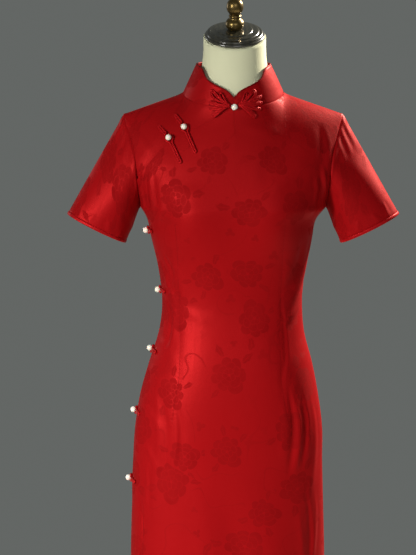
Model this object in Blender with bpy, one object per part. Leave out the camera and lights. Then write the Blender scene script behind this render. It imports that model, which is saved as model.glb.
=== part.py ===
"""A cheongsam dress worn on a limbless dress form that stands on a round base.

Units are metres and +Z is up. The dress faces -Y, and the wearer's right side is at -X.
"""

import math

import bmesh
import bpy
from mathutils import Vector

MM = 0.001

# ---- Driving dimensions -------------------------------------------------------------------------

CLOTH = 1.6 * MM                 # wall of the dress
SEAM_GAP = 0.3 * MM              # parting between pieces that meet
ROUNDNESS = 2.3                  # exponent of the level sections; 2 is an ellipse

HEM_Z = 0.230
SLIT_TOP_Z = 0.648
UNDERARM_Z = 1.184
UNDERARM_HALF_WIDTH = 0.1615

# Level sections of the dress from the hem to the underarm, seam plane at y = 0.
LEVEL_COLUMNS = ("z", "centre", "half_width", "front", "back")
LEVELS = (
    (0.230, -0.0085, 0.1690, 0.099, 0.104),
    (0.330, -0.0086, 0.1705, 0.099, 0.104),
    (0.430, -0.0088, 0.1722, 0.099, 0.105),
    (0.560, -0.0089, 0.1724, 0.099, 0.106),
    (0.648, -0.0090, 0.1700, 0.099, 0.110),
    (0.735, -0.0083, 0.1667, 0.100, 0.117),
    (0.793, -0.0066, 0.1645, 0.102, 0.120),
    (0.851, -0.0058, 0.1562, 0.102, 0.117),
    (0.908, -0.0033, 0.1427, 0.098, 0.104),
    (0.965, -0.0018, 0.1265, 0.090, 0.086),
    (1.018, -0.0008, 0.1218, 0.085, 0.075),
    (1.078, -0.0017, 0.1277, 0.091, 0.082),
    (1.135, -0.0024, 0.1402, 0.101, 0.093),
    (1.163, -0.0020, 0.1465, 0.105, 0.097),
    (1.184, 0.0000, 0.1615, 0.107, 0.098),
)

# Heights of the cloth's level rows; a row runs through each side button.
ROW_HEIGHTS = (
    HEM_Z, 0.30, 0.40, 0.48, 0.56, 0.605, SLIT_TOP_Z, 0.70, 0.735, 0.780, 0.822,
    0.860, 0.900, 0.931, 0.965, 1.000, 1.038, 1.075, 1.110, 1.143, 1.163, UNDERARM_Z,
)
UPPER_ROWS = 9
HALF_COLUMNS = 11                # columns from the centre line to a side seam
NECK_COLUMNS = 5                 # of these, the ones that end on the neckline

# How far a panel's edge draws back from the side seam below the slit's top.
SLIT_COLUMNS = ("z", "front", "back")
SLITS = (
    (HEM_Z, 0.0320, 0.0270),
    (0.430, 0.0140, 0.0115),
    (0.560, 0.0045, 0.0038),
    (0.605, 0.0020, 0.0016),
    (SLIT_TOP_Z, 0.0, 0.0),
)

# Bust of the front.
BUST_X = 0.080
BUST_Z = 1.165
BUST_RISE = 0.012
BUST_WIDTH = 0.052
BUST_HEIGHT = 0.055

# Shoulder ridge, neckline and the yoke's rounding over the shoulder.
NECK_HALF_WIDTH = 0.0865
TIP_HALF_WIDTH = 0.1893
TIP_Z = 1.3434
SHOULDER_SLOPE = 0.351
NAPE_RISE = 0.030
NAPE_REACH = 0.100
NECKLINE_TILTS = {-1: 0.0238, 1: 0.0120}    # drop to the centre front, and rise to the nape
NECKLINE_DEPTHS = {-1: 0.0735, 1: 0.0530}
NECKLINE_HOLD = 12               # how near the neckline its own plan shapes the yoke
YOKE_HALF_WIDTH = 0.195
YOKE_BLEND = 0.090
YOKE_CURVES = {-1: (1.6, 1.7), 1: (2.2, 2.0)}

# Armhole seam, seen from the front.
ARMHOLE_COLUMNS = ("z", "x")
ARMHOLE = (
    (UNDERARM_Z, UNDERARM_HALF_WIDTH),
    (1.210, 0.1635),
    (1.240, 0.1655),
    (1.263, 0.1675),
    (1.281, 0.1705),
    (1.303, 0.1765),
    (TIP_Z, TIP_HALF_WIDTH),
)

# Diagonal edge of the front panel, from the collar's centre to the right armhole.
PLACKET_COLUMNS = ("x", "z")
PLACKET = (
    (-0.165, 1.2350),
    (-0.140, 1.2680),
    (-0.111, 1.2985),
    (-0.078, 1.3160),
    (-0.0387, 1.3351),
    (-0.0137, 1.3500),
)
UNDERLAP = 0.012                 # how far the small right front runs on below that edge
UNDERLAP_STEP = 2.7 * MM
UNDERLAP_FADE = 0.025
UNDERLAP_ROWS = 7

# Soft folds: across is the place between the side seams, -1 to 1.
FOLD_COLUMNS = ("side", "across", "z", "half_width", "half_height", "lean", "rise")
FOLDS = (
    (-1, -0.78, 0.800, 0.10, 0.085, 0.10, 1.8 * MM),
    (-1, 0.70, 0.770, 0.10, 0.110, -0.08, 2.2 * MM),
    (-1, 0.62, 1.055, 0.12, 0.060, -0.35, 1.8 * MM),
    (-1, -0.62, 1.020, 0.11, 0.045, 0.45, 1.4 * MM),
    (-1, 0.25, 0.420, 0.20, 0.200, 0.05, 2.5 * MM),
    (1, -0.60, 0.640, 0.14, 0.180, 0.08, 2.5 * MM),
    (1, 0.55, 1.010, 0.14, 0.040, -0.45, 2.0 * MM),
    (1, -0.45, 0.985, 0.14, 0.035, 0.40, 1.8 * MM),
    (1, 0.50, 0.560, 0.16, 0.200, -0.06, 2.5 * MM),
)

# Sleeves: the flat-lying tube's outer and inner corners at the cuff.
CUFF_OUTER = (0.2880, 1.1710)
CUFF_INNER = (0.1875, 1.1204)
CUFF_HALF_DEPTH = 0.040
CUFF_Y = -0.006
CUFF_BAND = 6.0 * MM
CUFF_BAND_WALL = 2.4 * MM
SLEEVE_ROWS = 6
SLEEVE_SEAM_GAP = 0.4 * MM

# Stand collar.
COLLAR_WALL = 1.8 * MM
COLLAR_SEAT = 0.5 * MM
COLLAR_FULL_HEIGHT = 0.050
COLLAR_TOP_HALF_WIDTH = 0.0630
COLLAR_TOP_HALF_DEPTH = 0.0590
COLLAR_TOP_Y = -0.0130
COLLAR_ROWS = 3
COLLAR_STEPS = 40
COLLAR_COLUMNS = ("angle", "height")
COLLAR_HEIGHTS = (
    (0.0, 0.0143),
    (8.0, 0.0250),
    (18.0, 0.0308),
    (44.0, 0.0400),
    (62.0, 0.0510),
    (90.0, 0.0475),
    (120.0, 0.0430),
    (180.0, 0.0430),
)
PIPING_RADIUS = 1.3 * MM

# Buttons and cord fastenings.
PEARL_RADIUS = 5.2 * MM
COLLAR_PEARL_RADIUS = 5.5 * MM
PEARL_HEIGHT = 6.2 * MM
CORD_RADIUS = 1.75 * MM
CORD_SIDES = 6
LOOP_RADIUS = 5.95 * MM
CHEST_COLUMNS = ("name", "x", "z", "loop", "knot")     # the strips' headings in degrees
CHEST_FROGS = (
    ("chest_frog_1", -0.0825, 1.3225, -66.0, -51.0),
    ("chest_frog_2", -0.1091, 1.3045, -64.0, -48.0),
)
CHEST_LOOP_LENGTH = 0.044
CHEST_KNOT_LENGTH = 0.026
SIDE_FROG_HEIGHTS = (1.143, 1.038, 0.931, 0.822, 0.700)
SIDE_LOOP_LENGTH = 0.034
SIDE_KNOT_LENGTH = 0.030
SIDE_LIFT = 0.6 * MM
CHEST_LIFT = 0.3 * MM

# The loops of the butterfly fastening: root and tip seen from the front, and half width.
PETAL_COLUMNS = ("name", "on_collar", "root_x", "root_z", "tip_x", "tip_z", "half_width")
PETALS = (
    ("butterfly_upper_right", True, -0.0065, 1.3640, -0.0400, 1.3785, 0.0112),
    ("butterfly_lower_right", False, -0.0065, 1.3505, -0.0415, 1.3435, 0.0108),
    ("butterfly_upper_left", True, 0.0080, 1.3640, 0.0425, 1.3800, 0.0116),
    ("butterfly_lower_left", False, 0.0080, 1.3505, 0.0440, 1.3440, 0.0110),
)
PETAL_CORDS = 4
PETAL_LOW = 1.5 * MM
PETAL_HIGH = 2.8 * MM
PETAL_STEPS = 16
BUTTERFLY_PEARL = (0.0008, 1.3575)
BUTTERFLY_PEARL_HEIGHT = 6.3 * MM

# Dress form.
FORM_BOTTOM_Z = 0.700
FORM_NEAR = 0.7 * MM             # clear of the cloth at shoulders and side seams
FORM_FAR = 3.6 * MM              # clear of the cloth at chest and back
FORM_NECK_INSET = 3.5 * MM
FORM_FLARE_INSET = 3.0 * MM      # more where the cloth flares to the armholes and to the neck
FORM_RIM_INSET = 1.9             # times as far in at the arm plates' rims, whose normals lean out
NECK_TOP = (0.0020, -0.0140, 1.4755)
NECK_TOP_RADIUS = 0.0545
NECK_LEAN = math.radians(22.5)
NECK_RINGS = (0.15, 0.33, 0.55, 0.78, 1.0)
ARM_PLATE_BULGE = 0.004

# Neck cap, finial, pole and base: (radius, height) profiles in millimetres.
CAP_PROFILE = (
    (49.5, 0.0), (51.3, 1.6), (51.7, 3.6), (50.4, 5.6), (47.8, 6.4), (48.4, 8.0), (47.0, 9.8),
    (42.0, 10.4), (41.0, 12.0), (31.0, 12.6), (30.0, 14.0), (18.0, 14.5),
)
FINIAL_START = 14.8
FINIAL_PROFILE = (
    (11.0, 0.0), (15.0, 4.0), (16.3, 9.5), (14.6, 15.0), (9.5, 19.5), (8.8, 21.5), (10.6, 22.8),
    (10.6, 24.4), (8.8, 25.6), (9.6, 28.0), (13.8, 34.0), (14.9, 41.0), (12.6, 49.0), (7.0, 54.5),
)
POLE_RADIUS = 16.0
BASE_PROFILE = (
    (176.0, 0.0), (180.0, 3.0), (180.0, 12.0), (174.0, 18.0), (60.0, 24.0), (34.0, 27.0),
    (26.0, 33.0), (26.0, 58.0),
)
TURNED_STEPS = 24
POLE_STEPS = 24
BASE_STEPS = 36

MATERIALS = {
    "red_damask": ((0.30, 0.012, 0.016, 1.0), 0.42, 0.0),
    "red_cord": ((0.36, 0.016, 0.020, 1.0), 0.45, 0.0),
    "pearl": ((0.85, 0.80, 0.72, 1.0), 0.22, 0.0),
    "form_linen": ((0.58, 0.57, 0.38, 1.0), 0.85, 0.0),
    "dark_wood": ((0.030, 0.018, 0.014, 1.0), 0.28, 0.0),
    "amber_brass": ((0.55, 0.30, 0.08, 1.0), 0.25, 1.0),
    "black_metal": ((0.02, 0.02, 0.02, 1.0), 0.35, 0.6),
}


# ---- Curves through the tables ------------------------------------------------------------------

def smooth_step(t):
    t = max(0.0, min(1.0, t))
    return t * t * (3 - 2 * t)


def read_curve(rows, columns, key, name, at):
    """The value of one named column where the key column is at, by a smooth curve through the rows."""
    keys = [row[columns.index(key)] for row in rows]
    values = [row[columns.index(name)] for row in rows]
    if at <= keys[0]:
        return values[0]
    if at >= keys[-1]:
        return values[-1]
    i = max(j for j in range(len(keys) - 1) if keys[j] <= at)

    def slope(j):
        low, high = max(j - 1, 0), min(j + 1, len(keys) - 1)
        return (values[high] - values[low]) / (keys[high] - keys[low])

    span = keys[i + 1] - keys[i]
    t = (at - keys[i]) / span
    rise = (2 * t**3 - 3 * t**2 + 1) * values[i] + (3 * t**2 - 2 * t**3) * values[i + 1]
    return rise + span * ((t**3 - 2 * t**2 + t) * slope(i) + (t**3 - t**2) * slope(i + 1))


def level(name, z):
    return read_curve(LEVELS, LEVEL_COLUMNS, "z", name, z)


def armhole_x(z):
    return read_curve(ARMHOLE, ARMHOLE_COLUMNS, "z", "x", z)


def by_length(points, fraction):
    """The point at a fraction of a polyline's length."""
    lengths = [(b - a).length for a, b in zip(points, points[1:])]
    left = fraction * sum(lengths)
    for start, end, length in zip(points, points[1:], lengths):
        if left <= length:
            return start.lerp(end, left / length)
        left -= length
    return points[-1].copy()


# ---- The dress's outer surface ------------------------------------------------------------------
# side is -1 for the front and 1 for the back; gap is the parting at the seam plane.

def bust(side, x, z):
    if side > 0:
        return 0.0
    up = math.exp(-(((z - BUST_Z) / BUST_HEIGHT) ** 2))
    return BUST_RISE * up * sum(
        math.exp(-(((x - centre) / BUST_WIDTH) ** 2)) for centre in (-BUST_X, BUST_X)
    )


def bust_fade(x, half_width):
    """Keeps the bust's rise off the side seams."""
    return max(0.0, 1 - (abs(x) / half_width) ** 6)


def level_section(side, z, gap, steps=96):
    """The half section at one height, from the -X seam to the +X seam."""
    half, centre = level("half_width", z), level("centre", z)
    depth = level("front" if side < 0 else "back", z)
    points = []
    for i in range(steps + 1):
        angle = math.pi * i / steps
        across = -math.cos(angle)
        along = math.sin(angle) if 0 < i < steps else 0.0
        x = math.copysign(half * abs(across) ** (2 / ROUNDNESS), across)
        y = depth * along ** (2 / ROUNDNESS) + bust(side, x, z) * bust_fade(x, half)
        points.append(Vector((centre + x, side * (gap / 2 + y), z)))
    return points


def level_row(side, z, gap):
    """One row of the cloth: points at equal lengths between the panel's side edges."""
    points = level_section(side, z, gap)
    length = sum((b - a).length for a, b in zip(points, points[1:]))
    name = "front" if side < 0 else "back"
    back_off = read_curve(SLITS, SLIT_COLUMNS, "z", name, z) / length
    columns = 2 * HALF_COLUMNS
    return [
        by_length(points, back_off + (1 - 2 * back_off) * k / columns) for k in range(columns + 1)
    ]


def ridge_z(x):
    """Height of the shoulder line, carried on to the centre as if there were no neck."""
    rise = TIP_Z + SHOULDER_SLOPE * (TIP_HALF_WIDTH - abs(x))
    inside = max(0.0, 1 - (x / NAPE_REACH) ** 2)
    return rise + NAPE_RISE * inside**2


def yoke_depth(side, x, z):
    """Distance from the seam plane above the underarm, rounding over to the shoulder line."""
    power, root = YOKE_CURVES[side]
    width = UNDERARM_HALF_WIDTH + (YOKE_HALF_WIDTH - UNDERARM_HALF_WIDTH) * smooth_step(
        (z - UNDERARM_Z) / YOKE_BLEND
    )
    up = max(0.0, min(1.0, (z - UNDERARM_Z) / (ridge_z(x) - UNDERARM_Z)))
    across = min(1.0, abs(x) / width)
    depth = level("front" if side < 0 else "back", UNDERARM_Z)
    shape = (1 - up**power) ** (1 / root) * (1 - across**ROUNDNESS) ** (1 / ROUNDNESS)
    return depth * shape + bust(side, x, z) * bust_fade(x, width) * (1 - up**2)


def neck_height(angle):
    """Height of the neckline at an angle from the centre front."""
    tilt = NECKLINE_TILTS[-1 if math.cos(angle) > 0 else 1]
    return ridge_z(NECK_HALF_WIDTH) - tilt * math.cos(angle)


def yoke_y(side, x, z, gap=0.0):
    """The yoke's surface, drawn to the neckline's plan near the neck."""
    depth = yoke_depth(side, x, z)
    if abs(x) < NECK_HALF_WIDTH:
        angle = math.asin(x / NECK_HALF_WIDTH)
        edge_z = neck_height(angle if side < 0 else math.pi - angle)
        pull = NECKLINE_DEPTHS[side] * math.cos(angle) - yoke_depth(side, x, edge_z)
        rise = max(0.0, min(1.0, (z - UNDERARM_Z) / (edge_z - UNDERARM_Z)))
        depth += pull * rise**NECKLINE_HOLD
    return side * (gap / 2 + depth)


def neckline(side, column):
    """A point (x, z) of the neckline: column 0 is the centre, NECK_COLUMNS the side of the neck."""
    angle = math.radians(90.0 * column / NECK_COLUMNS)
    return NECK_HALF_WIDTH * math.sin(angle), neck_height(angle if side < 0 else math.pi - angle)


def top_edge(side, column):
    """A point (x, z) of a whole panel's top edge, shoulder seam and neckline."""
    if abs(column) <= NECK_COLUMNS:
        return neckline(side, column)
    along = (abs(column) - NECK_COLUMNS) / (HALF_COLUMNS - NECK_COLUMNS)
    x = NECK_HALF_WIDTH + (TIP_HALF_WIDTH - NECK_HALF_WIDTH) * along
    return math.copysign(x, column), ridge_z(x)


def placket_point(fraction):
    """A point (x, z) of the diagonal edge: 0 at the armhole, 1 at the collar's centre front."""
    ends = PLACKET + (neckline(-1, 0),)
    places = [Vector((x, 0, z)) for x, z in ends]
    steps = 60
    fine = [
        Vector((x, 0, read_curve(ends, PLACKET_COLUMNS, "x", "z", x)))
        for x in (
            places[0].x + (places[-1].x - places[0].x) * i / steps for i in range(steps + 1)
        )
    ]
    point = by_length(fine, fraction)
    return point.x, point.z


def patch_row(side, low, top, arm_low, arm_top, rise, gap):
    """A row of a patch between a low and a top line whose sides follow the armholes.

    low and top are lists of (x, z). arm_low and arm_top give, for the first and the last column,
    the heights on the armhole, or None for a side that runs straight.
    """
    row = []
    last = len(low) - 1
    for k, ((x0, z0), (x1, z1)) in enumerate(zip(low, top)):
        x, z = x0 + (x1 - x0) * rise, z0 + (z1 - z0) * rise
        for end, sign, weight in ((0, -1, 1 - 2 * k / last), (1, 1, 2 * k / last - 1)):
            if arm_low[end] is None or weight <= 0:
                continue
            z_arm = arm_low[end] + (arm_top[end] - arm_low[end]) * rise
            corner = -1 if end else 0
            straight_x = low[corner][0] + (top[corner][0] - low[corner][0]) * rise
            x += weight * (sign * armhole_x(z_arm) - straight_x)
        row.append(Vector((x, yoke_y(side, x, z, gap), z)))
    return row


def panel_grid(side, gap, start=0, placket=False):
    """Rows of a panel from one of the level rows up to its top edge."""
    grid = [level_row(side, z, gap) for z in ROW_HEIGHTS[start:]]
    low = [(point.x, point.z) for point in grid[-1]]
    columns = range(-HALF_COLUMNS, HALF_COLUMNS + 1)
    top = [top_edge(side, k) for k in columns]
    arm_top = [TIP_Z, TIP_Z]
    if placket:
        for k in range(HALF_COLUMNS):
            top[k] = placket_point(k / HALF_COLUMNS)
        arm_top[0] = PLACKET[0][1]
        top[0] = (-armhole_x(arm_top[0]), arm_top[0])
    for row in range(1, UPPER_ROWS + 1):
        rise = math.sin(math.pi / 2 * row / UPPER_ROWS)
        grid.append(
            patch_row(side, low, top, (UNDERARM_Z, UNDERARM_Z), arm_top, rise, gap)
        )
    return grid


def folds(side, across, z):
    """How far the soft folds raise the cloth."""
    total = 0.0
    for row in FOLDS:
        fold = dict(zip(FOLD_COLUMNS, row))
        if fold["side"] != side:
            continue
        up = (z - fold["z"]) / fold["half_height"]
        sideways = (across - fold["across"] - fold["lean"] * (z - fold["z"])) / fold["half_width"]
        total += fold["rise"] * math.exp(-up * up - sideways * sideways)
    return total


# ---- Meshes -------------------------------------------------------------------------------------

def material(name):
    found = bpy.data.materials.get(name)
    if found:
        return found
    colour, roughness, metallic = MATERIALS[name]
    made = bpy.data.materials.new(name)
    made.use_nodes = True
    shader = made.node_tree.nodes["Principled BSDF"]
    shader.inputs["Base Color"].default_value = colour
    shader.inputs["Roughness"].default_value = roughness
    shader.inputs["Metallic"].default_value = metallic
    made.diffuse_color = colour
    return made


def finish(name, mesh_data, finish_name):
    """Turns a bmesh into a named object with outward faces."""
    bmesh.ops.recalc_face_normals(mesh_data, faces=mesh_data.faces)
    mesh = bpy.data.meshes.new(name)
    mesh_data.to_mesh(mesh)
    mesh_data.free()
    mesh.materials.append(material(finish_name))
    made = bpy.data.objects.new(name, mesh)
    bpy.context.scene.collection.objects.link(made)
    return made


def grid_normals(grid, outside, closed=False):
    """Normals of a grid of points, facing the way that outside(point) gives."""
    rows, columns = len(grid), len(grid[0])
    normals = []
    for i in range(rows):
        line = []
        for k in range(columns):
            if closed:
                ahead, behind = (k + 1) % columns, (k - 1) % columns
            else:
                ahead, behind = min(k + 1, columns - 1), max(k - 1, 0)
            along = grid[i][ahead] - grid[i][behind]
            up = grid[min(i + 1, rows - 1)][k] - grid[max(i - 1, 0)][k]
            normal = along.cross(up).normalized()
            line.append(-normal if normal.dot(outside(grid[i][k])) < 0 else normal)
        normals.append(line)
    return normals


def moved(grid, normals, amount):
    """The grid moved along its normals; amount is a number or a function of row and column."""
    by_place = amount if callable(amount) else lambda _row, _column: amount
    return [
        [point + normals[i][k] * by_place(i, k) for k, point in enumerate(points)]
        for i, points in enumerate(grid)
    ]


def wall(name, outer, inner, finish_name, closed=False):
    """A cloth wall between two grids; a closed one is a tube that is open at both ends."""
    made = bmesh.new()
    rows, columns = len(outer), len(outer[0])
    skins = [[[made.verts.new(point) for point in line] for line in skin] for skin in (outer, inner)]
    last = columns if closed else columns - 1
    for i in range(rows - 1):
        for k in range(last):
            for skin in skins:
                ahead = (k + 1) % columns
                made.faces.new((skin[i][k], skin[i][ahead], skin[i + 1][ahead], skin[i + 1][k]))
    for i in (0, rows - 1):
        for k in range(last):
            ahead = (k + 1) % columns
            made.faces.new((skins[0][i][k], skins[0][i][ahead], skins[1][i][ahead], skins[1][i][k]))
    for k in () if closed else (0, columns - 1):
        for i in range(rows - 1):
            made.faces.new((skins[0][i][k], skins[0][i + 1][k], skins[1][i + 1][k], skins[1][i][k]))
    return finish(name, made, finish_name)


def turned(name, profile, finish_name, steps=TURNED_STEPS, start=0.0):
    """A solid turned about its own Z, from a profile of (radius, height) in millimetres."""
    made = bmesh.new()
    low = made.verts.new((0, 0, (start + profile[0][1]) * MM))
    chain = [low]
    chain += [made.verts.new((radius * MM, 0, (start + height) * MM)) for radius, height in profile]
    chain.append(made.verts.new((0, 0, (start + profile[-1][1]) * MM)))
    edges = [made.edges.new(pair) for pair in zip(chain, chain[1:])]
    bmesh.ops.spin(
        made, geom=chain + edges, cent=(0, 0, 0), axis=(0, 0, 1), angle=2 * math.pi,
        steps=steps, use_merge=True,
    )
    bmesh.ops.remove_doubles(made, verts=made.verts, dist=0.01 * MM)
    return finish(name, made, finish_name)


def cord_ring(name, path, normals, radius, finish_name):
    """A closed cord swept along a closed path that lies over a surface with the given normals."""
    made = bmesh.new()
    rings = []
    count = len(path)
    for i, (point, normal) in enumerate(zip(path, normals)):
        along = (path[(i + 1) % count] - path[i - 1]).normalized()
        side = along.cross(normal).normalized()
        up = side.cross(along).normalized()
        rings.append([
            made.verts.new(point + radius * (side * math.cos(a) + up * math.sin(a)))
            for a in (2 * math.pi * (k + 0.5) / CORD_SIDES for k in range(CORD_SIDES))
        ])
    for i in range(count):
        ahead = rings[(i + 1) % count]
        for k in range(CORD_SIDES):
            nxt = (k + 1) % CORD_SIDES
            made.faces.new((rings[i][k], ahead[k], ahead[nxt], rings[i][nxt]))
    return finish(name, made, finish_name)


# ---- Dress pieces -------------------------------------------------------------------------------

def outward(side):
    """A function that gives, at a point of a panel, a way out of the dress."""
    return lambda point: Vector(
        (point.x, side * 0.05 + point.y, 0.25 * max(0.0, point.z - UNDERARM_Z))
    )


def at_seams(normals, grid):
    """Turns normals on the seam plane into that plane, and lets none at the neckline dip."""
    for line, points in zip(normals, grid):
        for normal, point in zip(line, points):
            if point.z > TIP_Z:
                normal.z = max(normal.z, 0.0)
                normal.normalize()
            if abs(point.y) < SEAM_GAP:
                normal.y = 0.0
                normal.normalize()
    return normals


def make_panel(name, side, placket=False):
    grid = panel_grid(side, SEAM_GAP, placket=placket)
    normals = at_seams(grid_normals(grid, outward(side)), grid)
    last = len(grid[0]) - 1

    def fold(i, k):
        across = 2 * k / last - 1
        return folds(side, across, grid[i][k].z) * (1 - across**8)

    outer = moved(grid, normals, fold)
    inner = moved(outer, normals, -CLOTH)
    return wall(name, outer, inner, "red_damask")


def make_underlap():
    """The small right front, whose lower edge lies under the front panel's diagonal edge."""
    columns = range(-HALF_COLUMNS, 1)
    top = [top_edge(-1, k) for k in columns]
    low = []
    for k in range(HALF_COLUMNS + 1):
        x, z = placket_point(k / HALF_COLUMNS)
        low.append((x, z - UNDERLAP))
    arm_low = low[0][1]
    low[0] = (-armhole_x(arm_low), arm_low)
    grid = []
    for row in range(UNDERLAP_ROWS + 1):
        rise = math.sin(math.pi / 2 * row / UNDERLAP_ROWS)
        line = []
        for k, ((x0, z0), (x1, z1)) in enumerate(zip(low, top)):
            weight = 1 - k / HALF_COLUMNS
            z_arm = arm_low + (TIP_Z - arm_low) * rise
            straight = low[0][0] + (top[0][0] - low[0][0]) * rise
            x = x0 + (x1 - x0) * rise + weight * (-armhole_x(z_arm) - straight)
            z = z0 + (z1 - z0) * rise
            line.append(Vector((x, yoke_y(-1, x, z, SEAM_GAP), z)))
        grid.append(line)
    normals = at_seams(grid_normals(grid, outward(-1)), grid)
    edge = PLACKET + (neckline(-1, 0),)

    def sunk(i, k):
        point = grid[i][k]
        above = point.z - read_curve(edge, PLACKET_COLUMNS, "x", "z", point.x)
        return -UNDERLAP_STEP * (1 - smooth_step(above / UNDERLAP_FADE))

    outer = moved(grid, normals, sunk)
    inner = moved(outer, normals, -CLOTH)
    return wall("dress_underlap", outer, inner, "red_damask")


def armhole_half(side):
    """Points of one armhole's front or back half, from the shoulder tip to the underarm."""
    points = []
    for row in range(UPPER_ROWS, -1, -1):
        z = UNDERARM_Z + (TIP_Z - UNDERARM_Z) * math.sin(math.pi / 2 * row / UPPER_ROWS)
        x = armhole_x(z)
        points.append(Vector((x, yoke_y(side, x, z), z)))
    return points


def sleeve_loops(mirror):
    """The armhole's loop and the cuff's loop, both from the top round by the front."""
    front, back = armhole_half(-1), armhole_half(1)
    loop = front + back[-2:0:-1]
    lengths = [0.0]
    for a, b in zip(front, front[1:]):
        lengths.append(lengths[-1] + (b - a).length)
    turns = [length / lengths[-1] * math.pi for length in lengths]
    turns += [2 * math.pi - turn for turn in turns[-2:0:-1]]
    outer = Vector((CUFF_OUTER[0], CUFF_Y, CUFF_OUTER[1]))
    inner = Vector((CUFF_INNER[0], CUFF_Y, CUFF_INNER[1]))
    middle, reach = (outer + inner) / 2, (outer - inner) / 2
    cuff = [
        middle + reach * math.cos(turn) + Vector((0, -CUFF_HALF_DEPTH * math.sin(turn), 0))
        for turn in turns
    ]
    shift = Vector((SLEEVE_SEAM_GAP, 0, 0))
    loop = [point + shift for point in loop]
    flip = Vector((mirror, 1, 1))
    return [point * flip for point in loop], [point * flip for point in cuff]


def make_sleeve(side_name, mirror):
    loop, cuff = sleeve_loops(mirror)
    ways = [(b - a).normalized() for a, b in zip(loop, cuff)]
    band_top = [point - way * CUFF_BAND for point, way in zip(cuff, ways)]
    edge = [point - way * (CUFF_BAND + SEAM_GAP) for point, way in zip(cuff, ways)]
    grid = [
        [a.lerp(b, row / SLEEVE_ROWS) for a, b in zip(loop, edge)] for row in range(SLEEVE_ROWS + 1)
    ]
    centres = [sum(line, Vector()) / len(line) for line in grid]

    def away(point):
        return point - min(centres, key=lambda centre: (centre - point).length)

    normals = grid_normals(grid, away, closed=True)
    for normal in normals[0]:
        normal.x = 0.0
        normal.normalize()
    wall(f"sleeve_{side_name}", grid, moved(grid, normals, -CLOTH), "red_damask", closed=True)
    band = [band_top, cuff]
    outer = moved(band, [normals[-1]] * 2, (CUFF_BAND_WALL - CLOTH) / 2)
    inner = moved(outer, [normals[-1]] * 2, -CUFF_BAND_WALL)
    wall(f"sleeve_band_{side_name}", outer, inner, "red_damask", closed=True)


def collar_base(angle):
    """A point of the neckline at an angle from the centre front, on the dress's surface."""
    side = -1 if math.cos(angle) > 0 else 1
    y = -NECKLINE_DEPTHS[side] * math.cos(angle)
    return Vector((NECK_HALF_WIDTH * math.sin(angle), y, neck_height(angle)))


def collar_point(angle, height):
    """A point of the collar's outer surface at a height above the neckline."""
    base = collar_base(angle)
    top = Vector((
        COLLAR_TOP_HALF_WIDTH * math.sin(angle),
        COLLAR_TOP_Y - COLLAR_TOP_HALF_DEPTH * math.cos(angle),
        base.z + COLLAR_FULL_HEIGHT,
    ))
    return base.lerp(top, height / COLLAR_FULL_HEIGHT)


def collar_height(angle):
    degrees = abs(math.degrees(angle))
    return read_curve(COLLAR_HEIGHTS, COLLAR_COLUMNS, "angle", "height", min(degrees, 360 - degrees))


def collar_angles():
    """Angles round the collar from one front end to the other, closer together at the front."""
    opening = SEAM_GAP / NECK_HALF_WIDTH
    for i in range(COLLAR_STEPS + 1):
        along = 2 * i / COLLAR_STEPS - 1
        bent = along * (1 + 0.35 * (1 - along * along))
        yield math.pi + bent * (math.pi - opening)


def make_collar():
    grid = []
    for row in range(COLLAR_ROWS + 1):
        line = []
        for angle in collar_angles():
            height = COLLAR_SEAT + (collar_height(angle) - COLLAR_SEAT) * row / COLLAR_ROWS
            line.append(collar_point(angle, height))
        grid.append(line)

    def away(point):
        return Vector((point.x, point.y - COLLAR_TOP_Y, 0))

    normals = grid_normals(grid, away)
    for line in normals:
        for end in (line[0], line[-1]):
            end.x = 0.0
            end.normalize()
    for normal in normals[0]:
        normal.z = 0.0
        normal.normalize()
    inner = moved(grid, normals, -COLLAR_WALL)
    wall("collar", grid, inner, "red_damask")
    make_piping(grid[-1], inner[-1])


def make_piping(outer_edge, inner_edge):
    """The cord-like edge along the collar's top, its ends cut upright where they meet in front."""
    made = bmesh.new()
    middle = [(a + b) / 2 for a, b in zip(outer_edge, inner_edge)]
    rings = []
    for i, point in enumerate(middle):
        along = (middle[min(i + 1, len(middle) - 1)] - middle[max(i - 1, 0)]).normalized()
        across = (outer_edge[i] - inner_edge[i]).normalized()
        up = across.cross(along).normalized()
        if up.z < 0:
            up = -up
        centre = point + up * (SEAM_GAP + PIPING_RADIUS)
        ring = [
            centre + PIPING_RADIUS * (across * math.cos(a) + up * math.sin(a))
            for a in (2 * math.pi * (k + 0.5) / CORD_SIDES for k in range(CORD_SIDES))
        ]
        if i in (0, len(middle) - 1):
            front = SEAM_GAP if i == 0 else -SEAM_GAP
            ring = [spot + along * ((front - spot.x) / along.x) for spot in ring]
        rings.append([made.verts.new(spot) for spot in ring])
    for i in range(len(rings) - 1):
        for k in range(CORD_SIDES):
            nxt = (k + 1) % CORD_SIDES
            made.faces.new((rings[i][k], rings[i + 1][k], rings[i + 1][nxt], rings[i][nxt]))
    made.faces.new(rings[0])
    made.faces.new(rings[-1])
    finish("collar_piping", made, "red_cord")


# ---- Fastenings ---------------------------------------------------------------------------------

def yoke_frame(x, z):
    """Point and outward normal of the front above the underarm."""
    step = 0.5 * MM
    point = Vector((x, yoke_y(-1, x, z), z))
    along = Vector((2 * step, yoke_y(-1, x + step, z) - yoke_y(-1, x - step, z), 0))
    up = Vector((0, yoke_y(-1, x, z + step) - yoke_y(-1, x, z - step), 2 * step))
    return point, along.cross(up).normalized()


def collar_frame(x, z):
    """Point and outward normal of the collar near its front, found at the given x and z."""
    angle = math.asin(x / NECK_HALF_WIDTH)
    for _ in range(4):
        height = z - collar_base(angle).z
        rise = height / COLLAR_FULL_HEIGHT
        wide = NECK_HALF_WIDTH + (COLLAR_TOP_HALF_WIDTH - NECK_HALF_WIDTH) * rise
        angle = math.asin(x / wide)
    turn, step = math.radians(0.5), 0.5 * MM
    along = collar_point(angle + turn, height) - collar_point(angle - turn, height)
    up = collar_point(angle, height + step) - collar_point(angle, height - step)
    return collar_point(angle, height), along.cross(up).normalized()


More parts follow.
